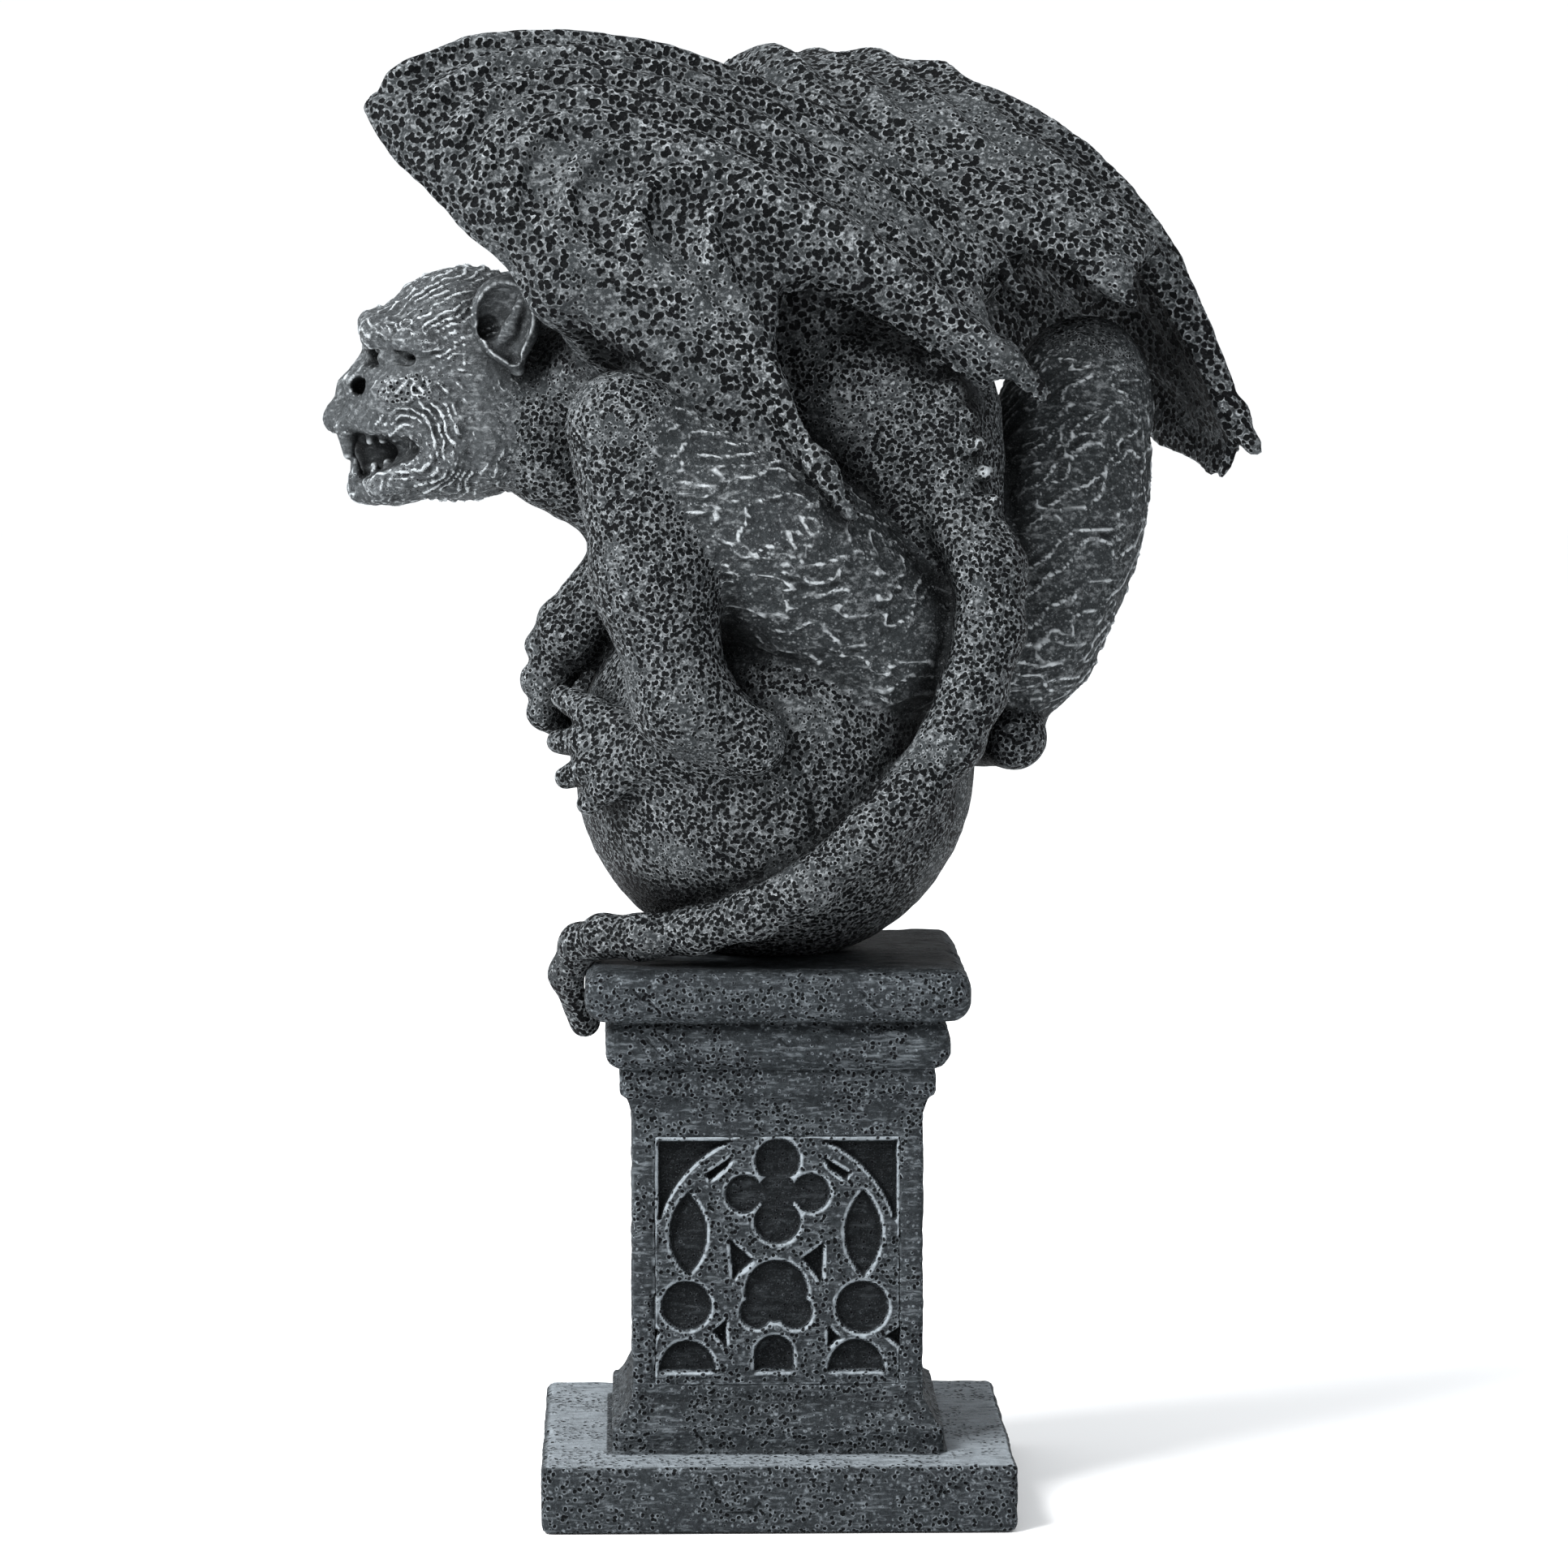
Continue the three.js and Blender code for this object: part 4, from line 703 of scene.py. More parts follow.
def net(value, low, step):
    """A closed net of quads around the negative part of a grid."""
    inside = value < 0
    corners = [(i, j, k) for i in (0, 1) for j in (0, 1) for k in (0, 1)]
    cells = tuple(n - 1 for n in value.shape)
    total = sum(inside[i:i + cells[0], j:j + cells[1], k:k + cells[2]].astype(np.int8) for i, j, k in corners)
    spots = np.argwhere((total > 0) & (total < 8))
    v = np.stack([value[spots[:, 0] + i, spots[:, 1] + j, spots[:, 2] + k] for i, j, k in corners], 1)
    place = np.zeros((len(spots), 3))
    hits = np.zeros(len(spots))
    for m, first in enumerate(corners):
        for n, second in enumerate(corners):
            if m >= n or sum(abs(x - y) for x, y in zip(first, second)) != 1:
                continue
            crossed = (v[:, m] < 0) != (v[:, n] < 0)
            t = np.where(crossed, v[:, m] / np.where(crossed, v[:, m] - v[:, n], 1), 0)
            point = np.array(first) + t[:, None] * (np.array(second) - first)
            place += point * crossed[:, None]
            hits += crossed
    points = np.asarray(low) + step * (spots + place / hits[:, None])
    number = np.full(cells, -1)
    number[tuple(spots.T)] = np.arange(len(spots))
    quads = []
    for s in range(3):
        t, r = (s + 1) % 3, (s + 2) % 3
        here = [slice(1, n) for n in cells]
        there = [slice(1, n) for n in cells]
        here[s], there[s] = slice(0, cells[s]), slice(1, cells[s] + 1)
        a, b = inside[tuple(here)], inside[tuple(there)]
        edge = np.argwhere(a != b) + [0 if k == s else 1 for k in range(3)]
        starts_inside = inside[tuple(edge.T)]
        back_t, back_r = np.eye(3, dtype=int)[t], np.eye(3, dtype=int)[r]
        around = [edge - back_t - back_r, edge - back_r, edge, edge - back_t]
        quad = np.stack([number[tuple(k.T)] for k in around], 1)
        quad[~starts_inside] = quad[~starts_inside][:, ::-1]
        quads.append(quad)
    return points, np.concatenate(quads)


# %% Reading a field at loose points
def by_cells(p, work):
    """Calls work(points, ball) for the points of each small cell and joins what it gives."""
    keys = np.floor(p[:, :3] / CHUNK).astype(np.int64) @ (1000000, 1000, 1)
    order = np.argsort(keys, kind="stable")
    groups = np.split(order, np.flatnonzero(np.diff(keys[order])) + 1)
    found = []
    for group in groups:
        q = p[group, :3]
        centre = (q.min(0) + q.max(0)) / 2
        found.append(work(p[group], (centre, np.linalg.norm(q.max(0) - centre) + 0.5)))
    return np.concatenate(found)[np.argsort(np.concatenate(groups))]


STEEP = 0.15
CORNERS = np.array([(1, -1, -1), (-1, -1, 1), (-1, 1, -1), (1, 1, 1)])


def slope(form, p):
    """Distance at each point and the direction in which it grows."""

    def work(q, ball):
        near = np.stack([form.distance(q + STEEP * c, ball) for c in CORNERS], 1)
        return np.hstack([near @ CORNERS, near.mean(1)[:, None]])

    found = by_cells(p, work)
    steep = length(found[:, :3])[:, None]
    return found[:, 3], found[:, :3] / np.maximum(steep, 1e-9)


def pulled(form, points, step):
    """Pulls the points of a net on to the surface and gives its normals there."""
    for _ in range(2):
        d, n = slope(form, points)
        points = points - np.clip(d, -0.6 * step, 0.6 * step)[:, None] * n
    return points, n


def mesh_object(name, points, faces, **fields):
    """A mesh object with a number at each point for every field."""
    mesh = bpy.data.meshes.new(name)
    mesh.from_pydata((points * MM).tolist(), [], faces)
    for label, field in fields.items():
        mesh.attributes.new(label, "FLOAT", "POINT").data.foreach_set("value", np.asarray(field, np.float32))
    mesh.polygons.foreach_set("use_smooth", np.full(len(mesh.polygons), True))
    mesh.update()
    made = bpy.data.objects.new(name, mesh)
    bpy.context.collection.objects.link(made)
    return made


def kept_faces(points, quads):
    """Drops the small stray shells of a net and keeps the largest one."""
    owner = np.arange(len(points))
    while True:
        low = owner[quads].min(1)
        fresh = owner.copy()
        for corner in range(4):
            np.minimum.at(fresh, quads[:, corner], low)
        fresh = fresh[fresh]
        if (fresh == owner).all():
            break
        owner = fresh
    labels, counts = np.unique(owner[quads[:, 0]], return_counts=True)
    quads = quads[owner[quads[:, 0]] == labels[counts.argmax()]]
    used = np.unique(quads)
    renumber = np.full(len(points), -1)
    renumber[used] = np.arange(len(used))
    return points[used], renumber[quads]


# %% [markdown]
# ## Smooth random fields
# Carving and casting leave nothing quite even. A lattice noise gives each point a smooth random
# number from its place alone, so two nets that meet agree, and every run gives the same statue.
# Stretching the noise along one direction and folding it makes long, broken ridges, as of fur.

# %% Noise
def scatter(i, j, k, seed):
    """A repeatable random number between 0 and 1 for each lattice corner."""
    h = (i * 73856093 + j * 19349663 + k * 83492791 + seed * 2654435761) & 0xFFFFFFFF
    h = ((h ^ (h >> 16)) * 0x45D9F3B) & 0xFFFFFFFF
    h = ((h ^ (h >> 16)) * 0x45D9F3B) & 0xFFFFFFFF
    return ((h ^ (h >> 16)) & 0xFFFFFF) / 0xFFFFFF


def noise(p, seed=0):
    """Smooth noise from -1 to 1 with features about one unit wide."""
    cell = np.floor(p).astype(np.int64)
    f = p - cell
    f = f * f * (3 - 2 * f)
    total = 0
    for corner in np.ndindex(2, 2, 2):
        weight = np.prod(np.where(np.array(corner) == 1, f, 1 - f), 1)
        total = total + weight * scatter(*(cell + corner).T, seed)
    return 2 * total - 1


def folded(p, seed=0):
    """Sharp crests where the noise passes zero, 1 on a crest and towards 0 between crests."""
    return 1 - np.minimum(np.abs(noise(p, seed)) * 1.7, 1)


def ramp(x, low, high):
    t = np.clip((x - low) / (high - low), 0, 1)
    return t * t * (3 - 2 * t)


print("noise at two points:", noise(np.array([[0.3, 0.2, 0.9], [4.1, 7.7, 2.5]])).round(3))

# %% [markdown]
# ## Carved fur, wrinkles and pores
# Each part of the figure has its own surface. The thighs carry wavy strands of fur, the head has
# wrinkles that sweep back over the skull and round the corners of the mouth, and everything else
# is open-pored stone. The strands are carved into the nets themselves, because they show against
# the light at the outline. The pores are far too many for a net, so an attribute only says where
# they are, and the material makes them.

# %% Where each surface lies
thighs = {"near": thigh_form("near"), "far": thigh_form("far")}


def zone_distances(p):
    """Distances to the whole casting, to each group and to the two thighs."""

    def work(q, ball):
        whole, each = casting_distances(q, ball)
        fur = np.stack([thighs[w].distance(q, ball) for w in ("near", "far")], 1)
        return np.hstack([whole[:, None], each, fur])

    found = by_cells(p, work)
    return found[:, 0], dict(zip(group_names, found[:, 1:7].T)), dict(zip(("near", "far"), found[:, 7:].T))


def nearness(d, width=2.4):
    """1 on a form and 0 further off than the width."""
    return 1 - ramp(d, 0.3, width)


def fur_strands(p, along, seed):
    """Broken wavy strands that run along one direction."""
    along = unit(along)
    wave = np.stack([noise(p / 11, seed + 1), noise(p / 9, seed + 2), noise(p / 8, seed + 3)], 1)
    q = p + 2.6 * wave
    run = q @ along
    rest = q - run[:, None] * along
    strand = folded(rest / 2.7 + (run / 8)[:, None] * along, seed + 4)
    fine = folded(rest / 1.6 + (run / 5)[:, None] * along, seed + 5)
    return 0.68 * strand**1.8 + 0.32 * fine**1.5 - 0.34


def cords(x, spacing, p, seed):
    """Thin raised lines at an even spacing, broken here and there."""
    bend = 2.9 * noise(p / 6.5, seed) + 1.5 * noise(p / 2.7, seed + 3)
    line = 1 - np.abs(np.sin(np.pi * x / spacing + bend))
    line = line**1.6 * (0.25 + 0.95 * ramp(noise(p / (5, 3.5, 2.6), seed + 1), -0.35, 0.3))
    return 0.75 * line + 0.4 * folded(p / 1.9, seed + 5) ** 2


def wrinkles(p):
    """Long creases on the skull, arcs round the corners of the mouth and a knobbly brow."""
    q = (p - head_middle) * (-1, 1, 1)
    f, s, z = q.T
    across = z + 0.42 * f + 0.012 * (f + 4) ** 2
    skull = cords(across, 1.9, q, 24)
    round_mouth = cords(np.hypot(f - 9.5, 0.95 * (z + 14)), 2, q, 36)
    knobs = folded(q / 2 + 0.7 * np.stack([noise(q / 3, 44), noise(q / 3, 45), noise(q / 3, 46)], 1), 28)
    low = ramp(-z, -5.5, 0) * ramp(-f, -15, -10)
    brow = ramp(f, 3, 10) * ramp(z, 6, 9) * ramp(-z, -19, -15)
    chin = ramp(-z, 20, 23) * ramp(f, 6, 11)
    pad = ramp(-np.hypot((f - 8.5) / 7.5, (z + 0.8) / 4.4), -1.15, -0.8)
    crease = (1 - low) * skull + low * round_mouth
    knobbly = np.clip(brow + chin + pad, 0, 1)
    crease = (1 - knobbly) * crease + 0.7 * knobbly * knobs
    smooth = ramp(f, 13, 18) * ramp(-z, -8, -3) * ramp(z, -13, -10)
    ear = ramp(np.abs(s), 17, 19.5) * ramp(-f, 4, 8)
    eye = ramp(-np.hypot((f - 11) / 6, (z - 6.4) / 3.4), -1.25, -1)
    inside = ramp(-z, 10.5, 12) * ramp(z, -21, -18.5) * ramp(f, 7, 11) * ramp(-np.abs(s), -13.5, -11)
    plain = np.maximum.reduce([0.8 * smooth, 0.85 * ear, eye, inside])
    return (crease - 0.35) * (1 - plain), 1 - plain, np.maximum(pad, 0.5 * brow)


# %% Nicks and cracks
def cut_along(p, a, b, width, depth):
    """A narrow groove along a line in space, deepest in the middle."""
    a, b = np.asarray(a, float), np.asarray(b, float)
    run = b - a
    t = np.clip((p - a) @ run / (run @ run), 0, 1)
    off = length(p - a - t[:, None] * run)
    return -depth * np.exp(-((off / width) ** 2)) * np.sqrt(np.clip(4 * t * (1 - t) + 0.15, 0, 1))


NICKS = [
    (at(-38, -55, 84), at(-29, -56, 88.5), 0.55, 1.1), (at(-39, -54.5, 83), at(-37, -55.5, 88), 0.5, 0.9),
    (at(1, -45.5, -1), at(7.5, -45.5, -6.5), 0.6, 1.2), (at(7.5, -45.5, -6.5), at(7.8, -44.5, -12), 0.6, 1.2),
    (at(6.8, -45.8, -0.5), at(7.5, -45.5, -6.5), 0.5, 1.0), (at(30, -37, -3), at(27, -36, -12), 0.6, 0.8),
    (at(-3, -55, 9), at(-1.5, -54, 14), 0.5, 0.9), (at(-34, -30, -38), at(-33.5, -33, -34), 0.5, 0.8),
]


# %% [markdown]
# ## Carving the nets
# A net is smooth clay at first. Moving each point in or out along its normal carves it, which keeps
# the mesh closed. How near a point is to each group of forms says whose surface it carries, and the
# surfaces fade into each other over a few millimetres. Two more measures go along to the paint, which
# paints shade from them: how strongly a spot bulges, and how much open space lies in front of it.

# %% Carving a net
def carved(name, points, normals):
    """Moves a net's points to carve its surface. Returns them with extra relief for the paint, which pales
    crests and paints shade in grooves, and with its pores.
    """
    whole, group, fur = zone_distances(points)
    on_skin = ramp(whole, -0.9, -0.35)
    p = points
    body = {k: nearness(d) for k, d in group.items()}
    from_knee = {w: hip[w] - knee[w] for w in knee}
    share = {w: (p - knee[w]) @ from_knee[w] / (from_knee[w] @ from_knee[w]) for w in knee}
    wing = np.maximum(body["near_wing"], body["far_wing"])
    bare = np.clip(1 - wing, 0, 1)
    furry = {w: nearness(fur[w], 2.8) * ramp(share[w], -0.12, 0.12) * bare for w in knee}
    coat = np.maximum(furry["near"], furry["far"])
    move = 0.16 * noise(p / 4.5, 31) + 0.12 * noise(p / 2.2, 32)
    move += wing * (0.42 * noise(p / 8.5, 33) + 0.16 * noise(p / 3.1, 34))
    move += body["trunk"] * (1 - wing) * (0.25 * noise(p / 3.4, 35))
    move *= 1 - np.clip(coat + 0.6 * body["head"], 0, 1)
    # Extra relief for the paint: crests get the pale coat, and grooves, creases, cracks and wing valleys get
    # painted shade.
    crest_coat_and_groove_shade = np.zeros(len(p))
    if name != "head":
        strand = furry["near"] * fur_strands(p, (1, 0.15, 0.08), 40)
        strand += furry["far"] * fur_strands(p, (0.75, 0.55, 0.32), 50)
        move += 1.1 * strand
        crest_coat_and_groove_shade += 0.14 * strand
    plain, pad = np.ones(len(p)), np.zeros(len(p))
    if name in ("head", "trunk"):
        crease, plain, pad = wrinkles(p)
        crease *= body["head"] * (1 - body["trunk"] * 0.5)
        move += 0.95 * crease
        crest_coat_and_groove_shade += 0.07 * crease
        plain = 1 - body["head"] * (1 - 0.62 * plain)
    for a, b, width, depth in NICKS:
        nick = cut_along(p, a, b, width, depth)
        move += nick
        crest_coat_and_groove_shade += 0.5 * nick
    for label, skin in (("near_wing", near_wing), ("far_wing", far_wing)):
        u, v, _ = skin.flat(p)
        valley = np.minimum(skin.read(skin.crest, u, v), 1.05) - 0.42
        rib = body[label] * valley * np.sign(normals @ skin.w)
        move += 0.9 * rib
        crest_coat_and_groove_shade += 0.1 * rib
    calm = 1 - 0.45 * ramp(noise(p / 9, 36), 0.25, 0.6)
    large = wing * (1 - 0.75 * coat) * calm
    small = bare * (1 - 0.85 * coat) * np.maximum(plain * calm, pad * body["head"])
    return points + (move * on_skin)[:, None] * normals, crest_coat_and_groove_shade, large, small, wing


REACHES = (3.5, 9.0, 20.0)  # how far in front of the surface the open space is felt


# The material paints shade where little open space lies in front of a point.
def open_space(points, normals):
    """How open the casting is in front of each point, from 0 in a deep recess to 1."""

    def work(q, ball):
        shares = []
        for reach in REACHES:
            away = casting_distances(q[:, :3] + reach * q[:, 3:], (ball[0], ball[1] + reach))[0]
            shares.append(np.clip(away / reach, 0, 1))
        return sum(shares) / len(REACHES)

    return by_cells(np.hstack([points, normals]), work)


def hollowness(points, quads, normals, step, rounds=2):
    """How strongly the surface bulges (+) or dips (-) at each point, per mm."""
    count = len(points)
    ends = np.concatenate([quads[:, [k, (k + 1) % 4]] for k in range(4)])
    hits = np.bincount(ends[:, 0], minlength=count) + np.bincount(ends[:, 1], minlength=count)
    even = points
    for _ in range(rounds):
        total = np.zeros((count, 3))
        for axis in range(3):
            total[:, axis] = np.bincount(ends[:, 0], even[ends[:, 1], axis], count)
            total[:, axis] += np.bincount(ends[:, 1], even[ends[:, 0], axis], count)
        even = total / hits[:, None]
    return np.einsum("ij,ij->i", points - even, normals) / (rounds * step**2)


# %% [markdown]
# ## Pedestal
# The pedestal is one casting: a slab, a shaft with a flared foot and a capital of three rounded
# bands. It is netted like the figure, from its own form, so its edges can be worn and cracked. The
# shaft has a shallow recess in each side for the window tracery.

# %% Pedestal form
PANEL_BED = 3.2
panel_low = shaft_foot + PANEL["lift"]
panel_high = panel_low + PANEL["height"]


def flared(half_low, half_high, corner, low, high):
    """A square block whose sides lean evenly from one width to another."""
    lean = (half_high - half_low) / (high - low)
    middle, tall = (low + high) / 2, (high - low) / 2

    def distance(p, ball):
        half = half_low + lean * np.clip(p[:, 2] - low, 0, high - low)
        side = square_distance(p, half, corner) / math.hypot(1, lean)
        return np.maximum(side, np.abs(p[:, 2] - middle) - tall)

    reach = np.array([max(half_low, half_high)] * 2 + [tall])
    return Form(distance, (0, 0, middle) - reach, (0, 0, middle) + reach)


def slot_box(low, high):
    low, high = np.asarray(low, float), np.asarray(high, float)

    def distance(p, ball):
        return np.maximum(low - p, p - high).max(1)

    return Form(distance, low, high)


def pedestal_form():
    half = SHAFT["width"] / 2
    foot_top = SLAB["height"] + FOOT_BAND["height"]
    parts = [
        band(SLAB["width"] / 2, SLAB["corner"], 0, SLAB["height"], SLAB["round"]),
        band(FOOT_BAND["width"] / 2, FOOT_BAND["corner"], SLAB["height"] - 1, foot_top, 0.4),
        flared(FOOT_BAND["width"] / 2 - 1, half + 0.6, 1.2, foot_top - 0.5, shaft_foot),
        band(half, SHAFT["corner"], shaft_foot - 1, shaft_top + 1, 0.3),
        flared(half + 0.3, half + NECK["reach"], 1.2, shaft_top, low_band_foot + 0.5),
        *capital_bands(0),
    ]
    body = blend(0.5, parts)
    inner, reach = half - PANEL_BED, PANEL["width"] / 2 - 0.3
    for side in range(4):
        low, high = np.array([-reach, inner]), np.array([reach, half + 3])
        if side % 2:
            low, high = low[::-1], high[::-1]
        if side > 1:
            low, high = -high, -low
        body = carve(0.3, body, slot_box((*low, panel_low + 0.3), (*high, panel_high - 0.3)))
    return body


# %% Wear on the pedestal
def face_run(p, normals):
    """Coordinates along a face, across it and out of it, so that streaks follow the face."""
    sideways = np.abs(normals[:, 0]) > np.abs(normals[:, 1])
    along = np.where(sideways, p[:, 1], p[:, 0])
    other = np.where(sideways, p[:, 0], p[:, 1])
    return np.stack([along, other, p[:, 2]], 1)


front = -MID_BAND["width"] / 2 - 0.2
slab_front = -SLAB["width"] / 2
CRACKS = [
    ([-5, front, 116.5], [0.5, front, 111.5]), ([0.5, front, 111.5], [4.2, front, 109.5]),
    ([4.2, front, 109.5], [3.6, front, 113]), ([-29, front, 114.5], [-22, front, 109]),
    ([-34, front, 115], [-27, front, 108.5]), ([36, front, 114], [37, front, 107.5]),
    ([8, front, 115], [10, front, 110.5]), ([-16.5, slab_front, 14], [-13, slab_front, 6]),
    ([-13.5, slab_front, 5], [-4, slab_front, 4.5]), ([-7, slab_front, 5], [-2, slab_front, 9]),
    ([32, slab_front, 15], [38, slab_front, 9]), ([38, slab_front, 9], [46, slab_front, 13]),
    ([-20, -38.5, 21.5], [-17, -38.5, 18]), ([-14, -38.5, 20.5], [-7, -39.5, 16.5]),
    ([-23, -38.5, 18], [-21, -40, 15.5]), ([18, -44.3, 124], [25, -44.4, 117.5]),
    ([-34, -44.3, 124], [-27, -44.4, 119]), ([-44.4, -20, 126], [-44.4, -12, 118]),
    ([-54.5, 22, 14], [-54.5, 12, 6]), ([-54.5, 12, 6], [-54.5, 4, 9]), ([54.5, -24, 13], [54.5, -14, 5]),
    ([20, 54.5, 13], [8, 54.5, 6]), ([39.8, 5, 115], [39.8, -4, 109]), ([-12, 44.4, 125], [-3, 44.4, 118]),
    ([-33.7, -31.5, 63], [-28, -33.8, 61.5]),
]


def worn(points, normals):
    """Moves the pedestal's points: uneven casting, streaks, chipped edges and cracks."""
    q = face_run(points, normals)
    uneven = 0.16 * noise(points / 7, 61) + 0.1 * noise(points / 2.6, 62)
    streak = 0.17 * noise(np.stack([q[:, 0] / 9, q[:, 1] / 1.9, q[:, 2] / 1.5], 1), 63)
    chip = -0.5 * ramp(noise(points / 3.2, 64), 0.42, 0.75) - 0.25 * ramp(noise(points / 1.8, 65), 0.5, 0.8)
    chip *= 1 - ramp(np.abs(normals).max(1), 0.93, 0.995)
    move = uneven + streak + 1.5 * chip
    for a, b in CRACKS:
        move += cut_along(points, a, b, 0.62, 1.15)
    move *= ramp(points[:, 2], 0.3, 2.5)
    return points + move[:, None] * normals


# %% [markdown]
# ## Window tracery
# Each side of the shaft carries blind tracery: a round arch that holds a four-leaf opening, two
# pointed ovals, a three-leaf opening, circles and half circles, with stone bars between them. Seen
# flat it is a set of outlines, so one panel is a height field over them, deep in the openings. The
# four sides are alike, and Geometry Nodes put the panel on each.

# %% Outlines of the tracery
ARCH_MIDDLE, ARCH_RADIUS = 61.4, 27.8


def tracery_depth(u, z):
    """How deep the panel is cut at each place, in mm."""
    def disc(x, y, r):
        return np.hypot(u - x, z - y) - r

    def pointed_oval(x, y, half, tall):
        r = (half**2 + tall**2) / (2 * half)
        return np.maximum(np.hypot(u - x + r - half, z - y) - r, np.hypot(u - x - r + half, z - y) - r)

    def arch(x, foot, half, tall):
        box = np.maximum(np.abs(u - x) - half, np.maximum(foot - z, z - foot - tall + half))
        return np.maximum(np.minimum(box, disc(x, foot + tall - half, half)), foot - z)

    def corner(points):
        return outline_distance(points, u, z)

    four_leaf = np.minimum.reduce([disc(0, 82.9, 5.3), disc(-7.6, 75.2, 4.6), disc(7.6, 75.4, 4.6),
                                   disc(0, 68.9, 5.5), disc(0, 75.3, 4.9)])
    three_leaf = np.minimum.reduce([disc(-0.3, 52.4, 7.4), disc(-4.9, 47.5, 4), disc(4, 47.6, 4.2)])
    leaves = np.minimum.reduce([
        four_leaf, three_leaf, pointed_oval(-20.7, 65.9, 4.5, 9.8), pointed_oval(19.8, 66, 4.4, 10.2),
        disc(-21.1, 49.1, 5.9), disc(19.6, 48.7, 6.2),
        np.maximum(np.hypot((u + 20.9) / 6.7, (z - 33.7) / 7.4) * 6.9 - 6.9, 33.7 - z),
        np.maximum(np.hypot((u - 18.2) / 6.7, (z - 33.7) / 7.6) * 6.9 - 6.9, 33.7 - z),
        arch(-0.8, 33.7, 4.7, 8.6)])
    outer = np.hypot(u, z - ARCH_MIDDLE)
    frame_edge = np.maximum(np.abs(u) - PANEL["width"] / 2 + 0.9, z - panel_high + 1.2)
    spandrel = np.maximum(np.maximum(ARCH_RADIUS + 0.2 - outer, frame_edge), ARCH_MIDDLE + 8 - z)
    gaps = np.minimum.reduce([
        spandrel,
        corner([(-16.8, 79.8), (-10.4, 83.9), (-11.5, 81.5), (-15.5, 78.2)]),
        corner([(10.7, 83.6), (16.6, 80), (15.8, 78.2), (12, 80.8)]),
        corner([(-11.2, 64.8), (-5.6, 59.7), (-10.4, 55)]), corner([(10.7, 63.8), (5.6, 60.2), (10.4, 54)]),
        corner([(-15.2, 43.2), (-11.8, 45.8), (-11.8, 39)]), corner([(11.6, 44.4), (11.6, 39.4), (14.6, 41.4)]),
        corner([(-29, 44.5), (-27.4, 43.2), (-29, 40)]), corner([(28.8, 44.5), (25, 42), (28.8, 39)])])
    ring = np.exp(-(((outer - 24.3) / 0.55) ** 2)) * ramp(z, 58, 62)
    ledge = np.exp(-(((outer - 27.5) / 0.5) ** 2)) * ramp(z, 58, 62)
    depth = 0.55 + 0.3 * ring + 0.25 * ledge
    depth += 1.75 * (1 - ramp(leaves, -0.75, 0.25)) + 2.3 * (1 - ramp(gaps, -0.7, 0.25))
    depth += 0.55 * (1 - ramp(arch(-0.8, 34.6, 3, 5.9), -0.4, 0.2))
    lip = np.exp(-(((leaves - 0.75) / 0.45) ** 2)) + 0.7 * np.exp(-(((gaps - 0.75) / 0.45) ** 2))
    return depth - 0.22 * lip


# %% One panel
def panel_mesh(step):
    """A closed plate whose front is cut to the tracery. X points out of the shaft."""
    half = PANEL["width"] / 2 + 0.5
    across = np.arange(-half, half + step / 2, step)
    up = np.arange(panel_low - 0.5, panel_high + 0.5 + step / 2, step)
    u, z = np.meshgrid(across, up, indexing="ij")
    flat = np.stack([u.ravel(), np.zeros(u.size), z.ravel()], 1)
    depth = tracery_depth(u, z).ravel()
    depth += 0.16 * noise(flat / 2.2, 71) + 0.1 * noise(flat / 1.1, 72)
    depth += np.maximum(0, 0.16 * noise(flat * (0.12, 1, 0.5), 73)) * (depth > 1.2)
    buried = np.minimum(np.minimum(half - np.abs(u), z - up[0]), up[-1] - z).ravel()
    depth = np.where(buried < 0.85, np.maximum(depth, 1.25), depth)
    depth = np.clip(depth, 0.12, PANEL_BED - 0.1)
    front = np.stack([-depth, u.ravel(), z.ravel()], 1)
    rows, cols = u.shape
    number = np.arange(rows * cols).reshape(rows, cols)
    quads = np.stack([number[:-1, :-1], number[1:, :-1], number[1:, 1:], number[:-1, 1:]], -1).reshape(-1, 4)
    rim = np.concatenate([number[:-1, 0], number[-1, :-1], number[:0:-1, -1], number[0, :0:-1]])
    back = front[rim] * (0, 1, 1) - (PANEL_BED + 0.6, 0, 0)
    first = len(front)
    ring = first + np.arange(len(rim))
    sides = np.stack([np.roll(rim, -1), rim, ring, np.roll(ring, -1)], 1)
    points = np.vstack([front, back])
    normals = np.zeros_like(points)
    normals[:, 0] = 1
    relief = hollowness(points, quads, normals, step, 2)[:first]
    relief = np.concatenate([relief, np.zeros(len(rim))])
    small = np.concatenate([0.9 - 0.35 * (depth > 1.4), np.zeros(len(rim))])
    faces = quads.tolist() + sides.tolist() + [ring[::-1].tolist()]
    return points, faces, relief, small


# %% [markdown]
# ## The same panel four times
# What repeats is placed by Geometry Nodes. A mesh circle of four points gives the places, each
# copy turns its X axis away from the middle, and the copies are made real with their stone.

